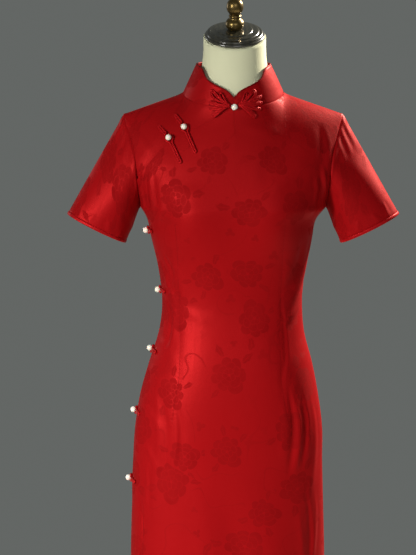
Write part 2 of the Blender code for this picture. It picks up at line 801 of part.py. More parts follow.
def side_frame(along, z):
    """Point and outward normal on the right side: along is 0 at the seam, positive to the front."""
    def place(distance, height):
        points = level_section(-1 if distance >= 0 else 1, height, 0.0)
        length = sum((b - a).length for a, b in zip(points, points[1:]))
        return by_length(points, abs(distance) / length)

    step = 2.0 * MM
    around = place(along + step, z) - place(along - step, z)
    up = place(along, z + step) - place(along, z - step)
    normal = around.cross(up).normalized()
    return place(along, z), normal if normal.x < 0 else -normal


def hairpin(length, eye):
    """A cord's flat route (along, across): a double strip from -length to an eye or a plain end at 0.

    With an eye the cord runs round a circle about the origin; without one it turns back before it.
    """
    half = CORD_RADIUS + 0.35 * MM
    route = []
    turns = 4
    far = -length + half
    for i in range(turns + 1):
        angle = math.pi / 2 + math.pi * i / turns
        route.append((far + half * math.cos(angle), half * math.sin(angle)))
    if eye:
        near = -math.sqrt(LOOP_RADIUS**2 - half**2) - 2.5 * MM
        straight = [(far + (near - far) * t, -half) for t in (0.33, 0.66, 1.0)]
        steps = 12
        open_angle = math.pi - math.asin(half / LOOP_RADIUS) - 0.35
        ring = [
            (LOOP_RADIUS * math.cos(a), LOOP_RADIUS * math.sin(a))
            for a in (-open_angle + 2 * open_angle * i / steps for i in range(steps + 1))
        ]
    else:
        near = -LOOP_RADIUS - CORD_RADIUS - SEAM_GAP - CORD_RADIUS - half
        straight = [(far + (near - far) * t, -half) for t in (0.5,)]
        ring = [
            (near + half * math.cos(a), half * math.sin(a))
            for a in (-math.pi / 2 + math.pi * i / turns for i in range(turns + 1))
        ]
    back = [(along, -across) for along, across in reversed(straight)]
    return route + straight + ring + back


def make_frog(name, frame_at, loop_length, knot_length, lift):
    """A straight fastening: a loop strip, a knot strip and a pearl button between them.

    frame_at(part, along, across) gives a point and a normal on the cloth; along runs from the knot
    strip to the loop strip, with the button at 0.
    """
    height = lift + CORD_RADIUS
    for part, length, sign, eye in (("loop", loop_length, -1, True), ("knot", knot_length, 1, False)):
        path, normals = [], []
        for along, across in hairpin(length, eye):
            point, normal = frame_at(part, sign * along, sign * across)
            path.append(point + normal * height)
            normals.append(normal)
        cord_ring(f"{name}_{part}", path, normals, CORD_RADIUS, "red_cord")
    point, normal = frame_at("loop", 0.0, 0.0)
    make_pearl(f"{name}_pearl", point + normal * (PEARL_HEIGHT + lift), PEARL_RADIUS)


def make_pearl(name, centre, radius):
    made = bmesh.new()
    bmesh.ops.create_icosphere(made, subdivisions=2, radius=radius)
    pearl = finish(name, made, "pearl")
    pearl.location = centre
    return pearl


def make_chest_frogs():
    for row in CHEST_FROGS:
        frog = dict(zip(CHEST_COLUMNS, row))

        def frame_at(part, along, across, frog=frog):
            turn = math.radians(frog[part])
            x = frog["x"] + along * math.cos(turn) - across * math.sin(turn)
            z = frog["z"] + along * math.sin(turn) + across * math.cos(turn)
            return yoke_frame(x, z)

        make_frog(frog["name"], frame_at, CHEST_LOOP_LENGTH, CHEST_KNOT_LENGTH, CHEST_LIFT)


def make_side_frogs():
    for number, height in enumerate(SIDE_FROG_HEIGHTS, start=1):

        def frame_at(_part, along, across, height=height):
            return side_frame(along, height + across)

        make_frog(f"side_frog_{number}", frame_at, SIDE_LOOP_LENGTH, SIDE_KNOT_LENGTH, SIDE_LIFT)


def make_petal(petal):
    """One lobe of the butterfly: nested cord loops, as ridges of one solid that follows the cloth."""
    frame_at = collar_frame if petal["on_collar"] else yoke_frame
    root = Vector((petal["root_x"], petal["root_z"]))
    tip = Vector((petal["tip_x"], petal["tip_z"]))
    way = (tip - root).normalized()
    cross = Vector((-way.y, way.x))
    length = (tip - root).length
    middle = root + way * length * 0.55

    def place(angle, scale):
        along = 0.5 - 0.5 * math.cos(angle)
        wide = petal["half_width"] * math.sin(angle) * (0.45 + 0.75 * along)
        edge = root + way * length * along + cross * wide
        return middle.lerp(edge, scale)

    made = bmesh.new()
    rings = []
    for j in range(1, 2 * PETAL_CORDS + 1):
        height = PETAL_HIGH if j % 2 else PETAL_LOW
        ring = []
        for i in range(PETAL_STEPS):
            flat = place(2 * math.pi * i / PETAL_STEPS, j / (2 * PETAL_CORDS))
            point, normal = frame_at(flat.x, flat.y)
            ring.append(made.verts.new(point + normal * (SEAM_GAP + height)))
        rings.append(ring)
    for scale in (1.0, 0.5):
        ring = []
        for i in range(PETAL_STEPS):
            flat = place(2 * math.pi * i / PETAL_STEPS, scale)
            point, normal = frame_at(flat.x, flat.y)
            ring.append(made.verts.new(point + normal * SEAM_GAP))
        rings.append(ring)
    for low, high in zip(rings, rings[1:]):
        for i in range(PETAL_STEPS):
            nxt = (i + 1) % PETAL_STEPS
            made.faces.new((low[i], low[nxt], high[nxt], high[i]))
    point, normal = frame_at(middle.x, middle.y)
    for ring, height in ((rings[0], PETAL_LOW), (rings[-1], 0.0)):
        centre = made.verts.new(point + normal * (SEAM_GAP + height))
        for i in range(PETAL_STEPS):
            made.faces.new((ring[i], ring[(i + 1) % PETAL_STEPS], centre))
    finish(petal["name"], made, "red_cord")


def make_butterfly():
    for row in PETALS:
        make_petal(dict(zip(PETAL_COLUMNS, row)))
    x, z = BUTTERFLY_PEARL
    point, on_collar = collar_frame(x, z)
    on_yoke = yoke_frame(x, neckline(-1, 0)[1])[1]
    way = (on_collar + on_yoke).normalized()
    make_pearl("butterfly_pearl", point + way * BUTTERFLY_PEARL_HEIGHT, COLLAR_PEARL_RADIUS)


# ---- Dress form and stand -----------------------------------------------------------------------

def make_form():
    """The closed form: the dress's sections drawn in, with plain arm plates and a leaning neck."""
    made = bmesh.new()
    shared = {}

    def vert(point):
        key = tuple(round(value / (0.01 * MM)) for value in point)
        if key not in shared:
            shared[key] = made.verts.new(point)
        return shared[key]

    start = ROW_HEIGHTS.index(FORM_BOTTOM_Z)
    grids = {side: panel_grid(side, 0.0, start=start) for side in (-1, 1)}
    skins = {side: [[vert(point) for point in line] for line in grid] for side, grid in grids.items()}
    for skin in skins.values():
        for low, high in zip(skin, skin[1:]):
            for k in range(len(low) - 1):
                made.faces.new((low[k], low[k + 1], high[k + 1], high[k]))
    front, back = skins[-1], skins[1]

    bottom = front[0] + back[0][-2:0:-1]
    made.faces.new(bottom)

    levels = len(ROW_HEIGHTS) - start - 1
    rims = set()
    for end in (0, -1):
        loop = [line[end] for line in front[levels:]]
        loop += [line[end] for line in reversed(back[levels + 1:-1])]
        rims.update(loop)
        middle = sum((point.co for point in loop), Vector()) / len(loop)
        middle.x -= math.copysign(ARM_PLATE_BULGE, -middle.x)
        centre = made.verts.new(middle)
        for a, b in zip(loop, loop[1:] + loop[:1]):
            made.faces.new((a, b, centre))

    left, right = HALF_COLUMNS - NECK_COLUMNS, HALF_COLUMNS + NECK_COLUMNS
    base = front[-1][left:right + 1] + back[-1][right - 1:left:-1]
    rings = [base]
    top_centre = Vector(NECK_TOP)
    back_way = Vector((0, math.cos(NECK_LEAN), math.sin(NECK_LEAN)))
    base_centre = sum((point.co for point in base), Vector()) / len(base)
    spots = []
    for point in base:
        off = point.co - base_centre
        angle = math.atan2(off.x / NECK_HALF_WIDTH, -off.y / (NECK_HALF_WIDTH * 0.75))
        spots.append(
            top_centre
            + NECK_TOP_RADIUS * (Vector((1, 0, 0)) * math.sin(angle) - back_way * math.cos(angle))
        )
    neck = []
    for rise in NECK_RINGS:
        draw_in = 1 - (1 - rise) ** 4
        ring = []
        for point, spot in zip(base, spots):
            level_z = point.co.z + (spot.z - point.co.z) * rise
            flat = point.co.lerp(spot, draw_in)
            ring.append(made.verts.new((flat.x, flat.y, level_z)))
        neck.append(ring)
    rings += neck
    for low, high in zip(rings, rings[1:]):
        for i in range(len(low)):
            nxt = (i + 1) % len(low)
            made.faces.new((low[i], low[nxt], high[nxt], high[i]))
    made.faces.new(rings[-1])

    bmesh.ops.recalc_face_normals(made, faces=made.faces)
    made.normal_update()
    kept = {vertex for ring in neck for vertex in ring}
    moves = []
    for vertex in made.verts:
        if vertex in kept:
            continue
        inset = CLOTH + FORM_NEAR + (FORM_FAR - FORM_NEAR) * smooth_step(abs(vertex.co.y) / 0.045)
        flare = smooth_step((abs(vertex.co.x) - 0.125) / 0.02) * (UNDERARM_Z < vertex.co.z < 1.30)
        near_neck = abs(vertex.co.x) < NECK_HALF_WIDTH + 0.02 and vertex.co.z > TIP_Z
        inset += FORM_FLARE_INSET * max(flare, 0.5 * near_neck)
        if vertex in base:
            inset += FORM_NECK_INSET
        if vertex in rims:
            inset *= FORM_RIM_INSET
        moves.append((vertex, vertex.normal * inset))
    for vertex, move in moves:
        vertex.co -= move
    for vertex in bottom:
        vertex.co.z = FORM_BOTTOM_Z
    finish("form_body", made, "form_linen")


def make_stand():
    lean = (NECK_LEAN, 0.0, 0.0)
    seat = Vector(NECK_TOP) + Vector((0, -math.sin(NECK_LEAN), math.cos(NECK_LEAN))) * SEAM_GAP
    for name, profile, finish_name, start in (
        ("neck_cap", CAP_PROFILE, "dark_wood", 0.0),
        ("finial", FINIAL_PROFILE, "amber_brass", FINIAL_START),
    ):
        piece = turned(name, profile, finish_name, start=start)
        piece.location = seat
        piece.rotation_euler = lean
    turned("stand_base", BASE_PROFILE, "dark_wood", steps=BASE_STEPS)
    low = BASE_PROFILE[-1][1] + SEAM_GAP / MM
    high = (FORM_BOTTOM_Z - SEAM_GAP) / MM
    turned("stand_pole", ((POLE_RADIUS, low), (POLE_RADIUS, high)), "black_metal", steps=POLE_STEPS)


def main():
    for old in list(bpy.data.objects):
        bpy.data.objects.remove(old, do_unlink=True)
    make_panel("dress_front", -1, placket=True)
    make_panel("dress_back", 1)
    make_underlap()
    make_sleeve("right", -1)
    make_sleeve("left", 1)
    make_collar()
    make_chest_frogs()
    make_side_frogs()
    make_butterfly()
    make_form()
    make_stand()


main()
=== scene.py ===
import math

import bmesh
import bpy
import numpy as np
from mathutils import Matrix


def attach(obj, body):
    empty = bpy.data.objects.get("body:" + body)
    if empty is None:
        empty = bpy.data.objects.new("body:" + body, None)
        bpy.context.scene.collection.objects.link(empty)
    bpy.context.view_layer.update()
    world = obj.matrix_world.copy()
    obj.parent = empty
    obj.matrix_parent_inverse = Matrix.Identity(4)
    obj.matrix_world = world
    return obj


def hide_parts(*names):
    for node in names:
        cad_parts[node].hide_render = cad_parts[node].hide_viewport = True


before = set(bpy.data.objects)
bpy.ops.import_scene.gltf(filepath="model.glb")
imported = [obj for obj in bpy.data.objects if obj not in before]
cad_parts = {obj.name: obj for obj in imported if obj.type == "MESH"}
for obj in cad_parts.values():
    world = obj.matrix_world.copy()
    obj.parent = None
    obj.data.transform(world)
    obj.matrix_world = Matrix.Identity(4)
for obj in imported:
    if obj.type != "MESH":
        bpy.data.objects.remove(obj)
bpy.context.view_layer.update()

# A short-sleeved damask cheongsam on a limbless dress form. Metres, +Z up, the front faces -Y.
# "Right" is the wearer's right, which is at -X.

mm = 0.001
scene = bpy.context.scene
print("frame loaded:", len(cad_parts), "solids")


# Curves and noise

def smoothStep(t):
    t = np.clip(t, 0.0, 1.0)
    return t * t * (3 - 2 * t)


def bell(distance, width):
    return np.exp(-(np.asarray(distance) / width) ** 2)


def readTable(table, key, name, at):  # a smooth curve through one column of a short table
    keys, values = np.array(table[key], float), np.array(table[name], float)
    last = len(keys) - 1
    at = np.clip(np.asarray(at, float), keys[0], keys[-1])
    i = np.clip(np.searchsorted(keys, at, "right") - 1, 0, last - 1)
    low, high = np.maximum(np.arange(last + 1) - 1, 0), np.minimum(np.arange(last + 1) + 1, last)
    slope = (values[high] - values[low]) / (keys[high] - keys[low])
    span = keys[i + 1] - keys[i]
    t = (at - keys[i]) / span
    level = (2 * t**3 - 3 * t**2 + 1) * values[i] + (3 * t**2 - 2 * t**3) * values[i + 1]
    return level + span * ((t**3 - 2 * t**2 + t) * slope[i] + (t**3 - t**2) * slope[i + 1])


def unit(ways):
    return ways / np.maximum(np.linalg.norm(ways, axis=-1, keepdims=True), 1e-12)


def lengthsAlong(points, axis=0):  # how far along each point lies, of one polyline or of every one in a grid
    steps = np.linalg.norm(np.diff(points, axis=axis), axis=-1)
    return np.concatenate([np.zeros_like(np.take(steps, [0], axis)), np.cumsum(steps, axis)], axis)


def fullTurn(steps):
    return 2 * math.pi * np.arange(steps) / steps


def resample(points, at):  # points of a polyline at given lengths along it
    along = lengthsAlong(points)
    return np.stack([np.interp(at, along, points[:, i]) for i in range(points.shape[1])], 1)


def unevenness(a, b, seed):  # a soft noise from about -1 to 1 over two coordinates
    draw = np.random.default_rng(seed)
    total = 0.0
    for _ in range(8):
        turn, pace = draw.uniform(0, math.pi), draw.uniform(0.6, 2.1)
        shift = draw.uniform(0, 2 * math.pi)
        total += np.sin(pace * (a * math.cos(turn) + b * math.sin(turn)) + shift)
    return total / 5


# Meshes

def normalsOf(grid, wrap=False):  # wrap: the columns close into a tube
    if wrap:
        along = np.roll(grid, -1, 1) - np.roll(grid, 1, 1)
    else:
        along = np.gradient(grid, axis=1)
    return unit(np.cross(along, np.gradient(grid, axis=0)))


def facing(normals, ways):  # turns round the normals that point away from the given ways
    return np.where((normals * ways).sum(2, keepdims=True) < 0, -normals, normals)


def addObject(name, data):
    piece = bpy.data.objects.new(name, data)
    scene.collection.objects.link(piece)
    return piece


def smooth(mesh, sharp):
    mesh.polygons.foreach_set("use_smooth", [True] * len(mesh.polygons))
    mesh.set_sharp_from_angle(angle=math.radians(sharp))


def makeMesh(name, points, faces, places, sharp=52):  # places: where each point lies on its flat cloth
    mesh = bpy.data.meshes.new(name)
    mesh.from_pydata(np.asarray(points, float).reshape(-1, 3).tolist(), [], faces)
    faceOut(mesh)
    smooth(mesh, sharp)
    layer = mesh.attributes.new("weave", "FLOAT_VECTOR", "POINT")
    layer.data.foreach_set("vector", np.c_[places, np.zeros(len(places))].astype(np.float32).ravel())
    return addObject(name, mesh)


def faceOut(mesh):  # turns an inside-out mesh round
    points = np.zeros(len(mesh.vertices) * 3, np.float32)
    mesh.vertices.foreach_get("co", points)
    mesh.calc_loop_triangles()
    corners = np.zeros(len(mesh.loop_triangles) * 3, np.int32)
    mesh.loop_triangles.foreach_get("vertices", corners)
    a, b, c = (points.reshape(-1, 3)[corners.reshape(-1, 3)[:, i]].astype(float) for i in range(3))
    if np.einsum("ij,ij->i", a, np.cross(b, c)).sum() < 0:
        mesh.flip_normals()


def addSeam(piece, distances, far=0.05):  # each point's distance from a seam; the points left over are far
    values = np.full(len(piece.data.vertices), far, np.float32)
    values[:len(distances)] = distances
    layer = piece.data.attributes.new("seam", "FLOAT", "POINT")
    layer.data.foreach_set("value", values)


def bridge(first, second, wrap=False):  # faces between two equal rows of point numbers
    ahead = np.roll(first, -1), np.roll(second, -1)
    count = len(first) if wrap else len(first) - 1
    return np.stack([first, ahead[0], ahead[1], second], 1)[:count].tolist()


rollShare = 0.42  # how far a cloth's rolled edge stands out, of its thickness


def clothShell(name, outer, normals, thick, places, wrap=False):  # a closed shell with rolled edges
    rows, columns = outer.shape[:2]
    inner = outer - normals * thick
    number = np.arange(rows * columns).reshape(rows, columns)
    if wrap:
        loops = [number[0], number[-1][::-1]]
        ways = [outer[0] - outer[1], (outer[-1] - outer[-2])[::-1]]
    else:
        loops = [np.concatenate([number[0], number[1:, -1], number[-1, -2::-1], number[-2:0:-1, 0]])]
        back = outer.copy()
        back[1:-1, 1:-1] = 0
        near = outer[1:-1, 1:-1][np.clip(np.arange(rows) - 1, 0, rows - 3)]
        near = near[:, np.clip(np.arange(columns) - 1, 0, columns - 3)]
        ways = [(outer - near).reshape(-1, 3)[loops[0]]]
    points = [outer.reshape(-1, 3), inner.reshape(-1, 3)]
    total = last = number.size
    faces = []
    for first, second in zip(number, number[1:]):
        faces += bridge(first, second, wrap)
        faces += [face[::-1] for face in bridge(first + total, second + total, wrap)]
    last += total
    flat = places.reshape(-1, 2)
    flats = [flat, flat]
    for loop, way in zip(loops, ways):
        middle = (points[0][loop] + points[1][loop]) / 2 + unit(way) * thick * rollShare
        ring = np.arange(len(loop)) + last
        last += len(loop)
        points.append(middle)
        flats.append(flat[loop])
        faces += bridge(ring, loop, True) + bridge(loop + total, ring, True)
    return makeMesh(name, np.concatenate(points), faces, np.concatenate(flats))


def flatPlaces(grid, middle=None, wrap=False):  # each point's place on the flat cloth, from arc lengths
    if wrap:
        across = lengthsAlong(np.concatenate([grid, grid[:, :1]], 1), 1)
        whole, across = across[:, -1:], across[:, :-1]
        across = np.where(across > whole / 2, across - whole, across)
    else:
        across = lengthsAlong(grid, 1)
        across -= across[:, across.shape[1] // 2 if middle is None else middle][:, None]
    return np.stack([across, lengthsAlong(grid)], 2)


def tubeParts(rings, around, along, closed=False):  # points, faces and flat places of a tube of rings
    number = np.arange(rings.shape[0] * rings.shape[1]).reshape(rings.shape[:2])
    rows = list(number) + [number[0]] * closed
    faces = []
    for first, second in zip(rows, rows[1:]):
        faces += bridge(first, second, True)
    if not closed:
        faces += [number[0][::-1].tolist(), number[-1].tolist()]
    places = np.stack(np.broadcast_arrays(around, along[:, None]), 2)
    return rings.reshape(-1, 3), faces, places.reshape(-1, 2)


def ringsRound(path, wide, side, high, up, turn):  # a ring about each point of a path
    wide, high = (np.broadcast_to(size, (len(path),))[:, None, None] for size in (wide, high))
    around, over = np.cos(turn)[None, :, None], np.sin(turn)[None, :, None]
    return path[:, None] + wide * side[:, None] * around + high * up[:, None] * over


def cordParts(path, normals, radius, sides=10, closed=True):  # a cord along a path
    along = np.roll(path, -1, 0) - np.roll(path, 1, 0) if closed else np.gradient(path, axis=0)
    side = unit(np.cross(along, normals))
    turn = fullTurn(sides)
    rings = ringsRound(path, radius, side, radius, unit(np.cross(side, along)), turn)
    return tubeParts(rings, turn * np.mean(radius), lengthsAlong(path), closed)


def joinParts(name, parts, sharp=60):  # one piece from several lots of points and faces
    faces, start = [], 0
    for points, sides, _ in parts:
        faces += [[corner + start for corner in side] for side in sides]
        start += len(points)
    points, places = (np.concatenate([part[i] for part in parts]) for i in (0, 2))
    return makeMesh(name, points, faces, places, sharp)


def turnedParts(profile, steps, seat=(0, 0, 0), up=(0, 0, 1)):  # profile: (radius, height) in metres
    profile = np.array(profile, float)
    turn = fullTurn(steps)
    rings = np.stack([
        profile[:, :1] * np.cos(turn), profile[:, :1] * np.sin(turn),
        profile[:, 1:] + np.zeros(steps)], 2)
    ends = np.array([[0, 0, profile[0, 1]], [0, 0, profile[-1, 1]]])
    points = np.concatenate([rings.reshape(-1, 3), ends])
    up = unit(np.array(up, float))
    side = unit(np.cross((0, 1, 0) if abs(up[1]) < 0.9 else (0, 0, 1), up))
    points = points @ np.array([side, np.cross(up, side), up]) + np.array(seat, float)
    number = np.arange(len(profile) * steps).reshape(-1, steps)
    faces = []
    for low, high in zip(number, number[1:]):
        faces += bridge(low, high, True)
    bottom, top = len(points) - 2, len(points) - 1
    for k in range(steps):
        ahead = (k + 1) % steps
        faces.append([int(number[0][ahead]), int(number[0][k]), bottom])
        faces.append([int(number[-1][k]), int(number[-1][ahead]), top])
    along = np.repeat(lengthsAlong(profile), steps)
    around = np.tile(turn, len(profile)) * np.repeat(profile[:, 0], steps)
    return points, faces, np.concatenate([np.stack([around, along], 1), np.zeros((2, 2))])


def rounded(profile, radius, steps=4):  # a profile with its corners rounded
    profile = np.array(profile, float)
    made = [profile[0]]
    for before, corner, after in zip(profile, profile[1:], profile[2:]):
        back, ahead = before - corner, after - corner
        reach = min(radius, 0.45 * np.linalg.norm(back), 0.45 * np.linalg.norm(ahead))
        start, end = corner + unit(back) * reach, corner + unit(ahead) * reach
        for t in np.linspace(0, 1, steps + 1):
            made.append((1 - t) ** 2 * start + 2 * t * (1 - t) * corner + t * t * end)
    made.append(profile[-1])
    return np.array(made)


# The dress's surface, from the part's own sizes

dress = dict(
    hem=0.230, slitTop=0.648, underarm=1.184, underarmHalf=0.1615, roundness=2.3,
    neckHalf=0.0865, tipHalf=0.1893, tipHeight=1.3434, shoulderSlope=0.351,
    napeRise=0.030, napeReach=0.100, neckHold=12, neckCorner=0.08, neckSlope=0.060,
    yokeHalf=0.195, yokeBlend=0.090,
    bustX=0.080, bustHeight=1.165, bustRise=0.012, bustWidth=0.052, bustReach=0.055,
    thick=1.2 * mm, parting=0.12 * mm,
    halfColumns=66, neckColumns=30, levelRows=176, upperRows=64, sectionSteps=220, seamSteps=24,
)
sideNames = {-1: "front", 1: "back"}
neckTilt = {-1: 0.0238, 1: 0.0120}
neckDepth = {-1: 0.0735, 1: 0.0530}
yokeCurve = {-1: (1.6, 1.7), 1: (2.2, 2.0)}
levels = dict(
    z=(0.230, 0.330, 0.430, 0.560, 0.648, 0.735, 0.793, 0.851, 0.908, 0.965, 1.018, 1.078, 1.135,
       1.163, 1.184),
    centre=(-0.0085, -0.0086, -0.0088, -0.0089, -0.0090, -0.0083, -0.0066, -0.0058, -0.0033, -0.0018,
            -0.0008, -0.0017, -0.0024, -0.0020, 0.0),
    half=(0.1690, 0.1705, 0.1722, 0.1724, 0.1700, 0.1667, 0.1645, 0.1562, 0.1427, 0.1265, 0.1218,
          0.1277, 0.1402, 0.1465, 0.1615),
    front=(0.099, 0.099, 0.099, 0.099, 0.099, 0.100, 0.102, 0.102, 0.098, 0.090, 0.085, 0.091, 0.101,
           0.105, 0.107),
    back=(0.104, 0.104, 0.105, 0.106, 0.110, 0.117, 0.120, 0.117, 0.104, 0.086, 0.075, 0.082, 0.093,
          0.097, 0.098),
)
armhole = dict(
    z=(1.184, 1.210, 1.240, 1.263, 1.281, 1.303, 1.3434),
    x=(0.1615, 0.1635, 0.1655, 0.1675, 0.1705, 0.1765, 0.1893),
)
slits = dict(z=(0.230, 0.430, 0.560, 0.605, 0.648), front=(0.0320, 0.0140, 0.0045, 0.0020, 0.0),
             back=(0.0270, 0.0115, 0.0038, 0.0016, 0.0))
placket = dict(x=(-0.165, -0.140, -0.111, -0.078, -0.0387, -0.0137, 0.0),
               z=(1.2350, 1.2680, 1.2985, 1.3160, 1.3351, 1.3500))
folds = dict(  # across is the place between the side seams, -1 to 1
    side=(-1, -1, -1, -1, -1, 1, 1, 1, 1),
    across=(-0.78, 0.70, 0.62, -0.62, 0.25, -0.60, 0.55, -0.45, 0.50),
    z=(0.800, 0.770, 1.055, 1.020, 0.420, 0.640, 1.010, 0.985, 0.560),
    wide=(0.10, 0.10, 0.12, 0.11, 0.20, 0.14, 0.14, 0.14, 0.16),
    high=(0.085, 0.110, 0.060, 0.045, 0.200, 0.180, 0.040, 0.035, 0.200),
    lean=(0.10, -0.08, -0.35, 0.45, 0.05, 0.08, -0.45, 0.40, -0.06),
    rise=(1.8, 2.2, 1.8, 1.4, 2.5, 2.5, 2.0, 1.8, 2.5),
)
lap = dict(  # the front's right edge over the back
    width=0.009, rise=1.45 * mm, low=0.655, full=0.700, fade=1.160, edge=1.5 * mm, slope=13 * mm,
    scallop=2.2 * mm, scallopReach=0.016,
)
sideButtons = (1.143, 1.038, 0.931, 0.822, 0.700)


def bustSwell(side, x, z, half):
    if side > 0:
        return np.zeros(np.broadcast(x, z).shape)
    up = bell(z - dress["bustHeight"], dress["bustReach"])
    across = sum(bell(x - centre, dress["bustWidth"]) for centre in (-dress["bustX"], dress["bustX"]))
    return dress["bustRise"] * up * across * np.maximum(0, 1 - np.abs(x / half) ** 6)


def section(side, z, parting):  # half of a level section, from the -X seam to the +X seam
    names = ("half", "centre", sideNames[side])
    half, centre, depth = (float(readTable(levels, "z", name, z)) for name in names)
    turn = np.linspace(0, math.pi, dress["sectionSteps"] + 1)
    power = 2 / dress["roundness"]
    x = -np.sign(np.cos(turn)) * half * np.abs(np.cos(turn)) ** power
    along = np.sin(turn)
    along[[0, -1]] = 0.0
    y = depth * np.abs(along) ** power + bustSwell(side, x, z, half)
    return np.stack([centre + x, side * (parting / 2 + y), np.full(len(turn), z)], 1)


def lapHeld(z):  # where the lap is sewn and buttoned, 1, and where it ends, 0
    begun = smoothStep((z - lap["low"]) / (lap["full"] - lap["low"]))
    return begun * (1 - smoothStep((z - lap["fade"]) / (dress["underarm"] - lap["fade"])))


def lapWidth(z):  # how far the front's right edge runs on over the back, a little scalloped
    pull = sum(bell(z - height, lap["scallopReach"]) for height in sideButtons)
    return lapHeld(z) * (lap["width"] - lap["scallop"] * pull)


def lapRise(along, z):  # along: the distance from the right seam, positive to the front
    return lap["rise"] * lapHeld(z) * (1 - smoothStep((along - lap["edge"]) / lap["slope"]))


def levelRow(side, z, shares):  # one row of a panel: its points and their distances from the -X seam
    past = dress["seamSteps"]  # points of the other half beyond each seam
    points, other = section(side, z, dress["parting"]), section(-side, z, dress["parting"])
    whole = np.concatenate([other[past:0:-1], points, other[-2:-past - 2:-1]])
    along = lengthsAlong(whole)
    along -= along[past]
    length = along[past + len(points) - 1]
    back = float(readTable(slits, "z", sideNames[side], z))
    start = back - (float(lapWidth(z)) if side < 0 else 0.0)
    at = start + (length - back - start) * shares
    return np.stack([np.interp(at, along, whole[:, i]) for i in range(3)], 1), at


def ridgeHeight(x):
    rise = dress["tipHeight"] + dress["shoulderSlope"] * (dress["tipHalf"] - np.abs(x))
    return rise + dress["napeRise"] * np.maximum(0, 1 - (x / dress["napeReach"]) ** 2) ** 2


def yokeDepth(side, x, z):
    power, root = yokeCurve[side]
    low = dress["underarm"]
    widen = smoothStep((z - low) / dress["yokeBlend"])
    width = dress["underarmHalf"] + (dress["yokeHalf"] - dress["underarmHalf"]) * widen
    up = np.clip((z - low) / (ridgeHeight(x) - low), 0, 1)
    across = np.minimum(1.0, np.abs(x) / width)
    shape = (1 - up**power) ** (1 / root)
    shape *= (1 - across ** dress["roundness"]) ** (1 / dress["roundness"])
    depth = levels[sideNames[side]][-1]
    depth = depth * shape + bustSwell(side, x, z, width) * (1 - up**2)
    if side > 0:
        return depth
    # beside the neck the front falls as straight as the neckline does
    beyond = np.maximum(np.abs(x), dress["neckHalf"])
    roof = np.maximum(0, ridgeHeight(beyond) - z) * neckDepth[side] / neckTilt[side]
    blend = 0.20 * np.minimum(roof, depth)
    lower = (roof + depth - np.sqrt((roof - depth) ** 2 + blend**2)) / 2
    share = 1 - smoothStep((beyond - dress["neckHalf"]) / dress["neckSlope"])
    share *= smoothStep((up - 0.60) / 0.30)
    return depth + share * (np.maximum(lower, 0) - depth)


def neckHeight(angle):  # angle from the centre front
    front = np.cos(angle) > 0
    tilt = np.where(front, neckTilt[-1], neckTilt[1])
    return ridgeHeight(dress["neckHalf"]) - tilt * np.cos(angle)


def yokeY(side, x, z, parting=0.0):  # the yoke's surface, drawn to the neckline's plan near the neck
    x, z = np.asarray(x, float), np.asarray(z, float)
    depth = yokeDepth(side, x, z)
    inside = np.abs(x) < dress["neckHalf"]
    angle = np.arcsin(np.clip(x / dress["neckHalf"], -1, 1))
    edge = neckHeight(angle if side < 0 else math.pi - angle)
    pull = neckDepth[side] * np.cos(angle) - yokeDepth(side, x, edge)
    rise = np.clip((z - dress["underarm"]) / (edge - dress["underarm"]), 0, 1)
    hold = dress["neckHold"]
    if side > 0:
        hold /= np.cos(angle) + dress["neckCorner"]  # tighter towards the shoulder
    depth += np.where(inside, pull * rise**hold, 0.0)
    return side * (parting / 2 + depth)


def topEdge(side, column):  # a whole panel's top edge; column runs from -1 to 1
    share = dress["neckColumns"] / dress["halfColumns"]
    size = np.abs(column)
    angle = np.sign(column) * np.minimum(size / share, 1) * math.pi / 2
    neckX = dress["neckHalf"] * np.sin(angle)
    neckZ = neckHeight(angle if side < 0 else math.pi - angle)
    along = (size - share) / (1 - share)
    x = dress["neckHalf"] + (dress["tipHalf"] - dress["neckHalf"]) * along
    onNeck = size <= share + 1e-9
    return np.stack([np.where(onNeck, neckX, np.sign(column) * x),
                     np.where(onNeck, neckZ, ridgeHeight(x))], -1)


placket["z"] += (float(neckHeight(0.0)),)


def placketEdge(shares):  # the diagonal edge: 0 at the armhole, 1 at the collar's centre front
    x = np.linspace(placket["x"][0], placket["x"][-1], 240)
    line = np.stack([x, readTable(placket, "x", "z", x)], 1)
    return resample(line, shares * lengthsAlong(line)[-1])


def patchRow(side, low, top, rise, arms):  # arms: an end, its side, its points' weights, its two heights
    spot = low + (top - low) * rise
    x, z = spot[:, 0].copy(), spot[:, 1]
    for end, sign, weight, armLow, armTop in arms:
        straight = low[end, 0] + (top[end, 0] - low[end, 0]) * rise
        x += weight * (sign * readTable(armhole, "z", "x", armLow + (armTop - armLow) * rise) - straight)
    return np.stack([x, yokeY(side, x, z, dress["parting"]), z], 1)


def patchRises(rows):  # closer together towards the shoulder
    return np.sin(math.pi / 2 * np.arange(rows + 1) / rows)


def panelGrid(side, diagonal=False):  # a panel's points, and their distances from the -X seam and places
    columns = np.linspace(-1, 1, 2 * dress["halfColumns"] + 1)
    heights = np.linspace(dress["hem"], dress["underarm"], dress["levelRows"] + 1)
    rows, seams = [], []
    for z in heights:
        row, at = levelRow(side, float(z), (columns + 1) / 2)
        rows.append(row)
        seams.append(at)
    low = rows[-1][:, [0, 2]]
    top = topEdge(side, columns)
    armTop = [dress["tipHeight"]] * 2
    if diagonal:
        half = dress["halfColumns"]
        top[:half] = placketEdge(np.arange(half) / half)
        armTop[0] = placket["z"][0]
        top[0] = (-readTable(armhole, "z", "x", armTop[0]), armTop[0])
    arms = [(end, sign, np.maximum(0, sign * columns), dress["underarm"], armTop[end])
            for end, sign in ((0, -1), (-1, 1))]
    for rise in patchRises(dress["upperRows"])[1:]:
        rows.append(patchRow(side, low, top, rise, arms))
        seams.append(seams[-1])
    return np.array(rows), np.array(seams), columns


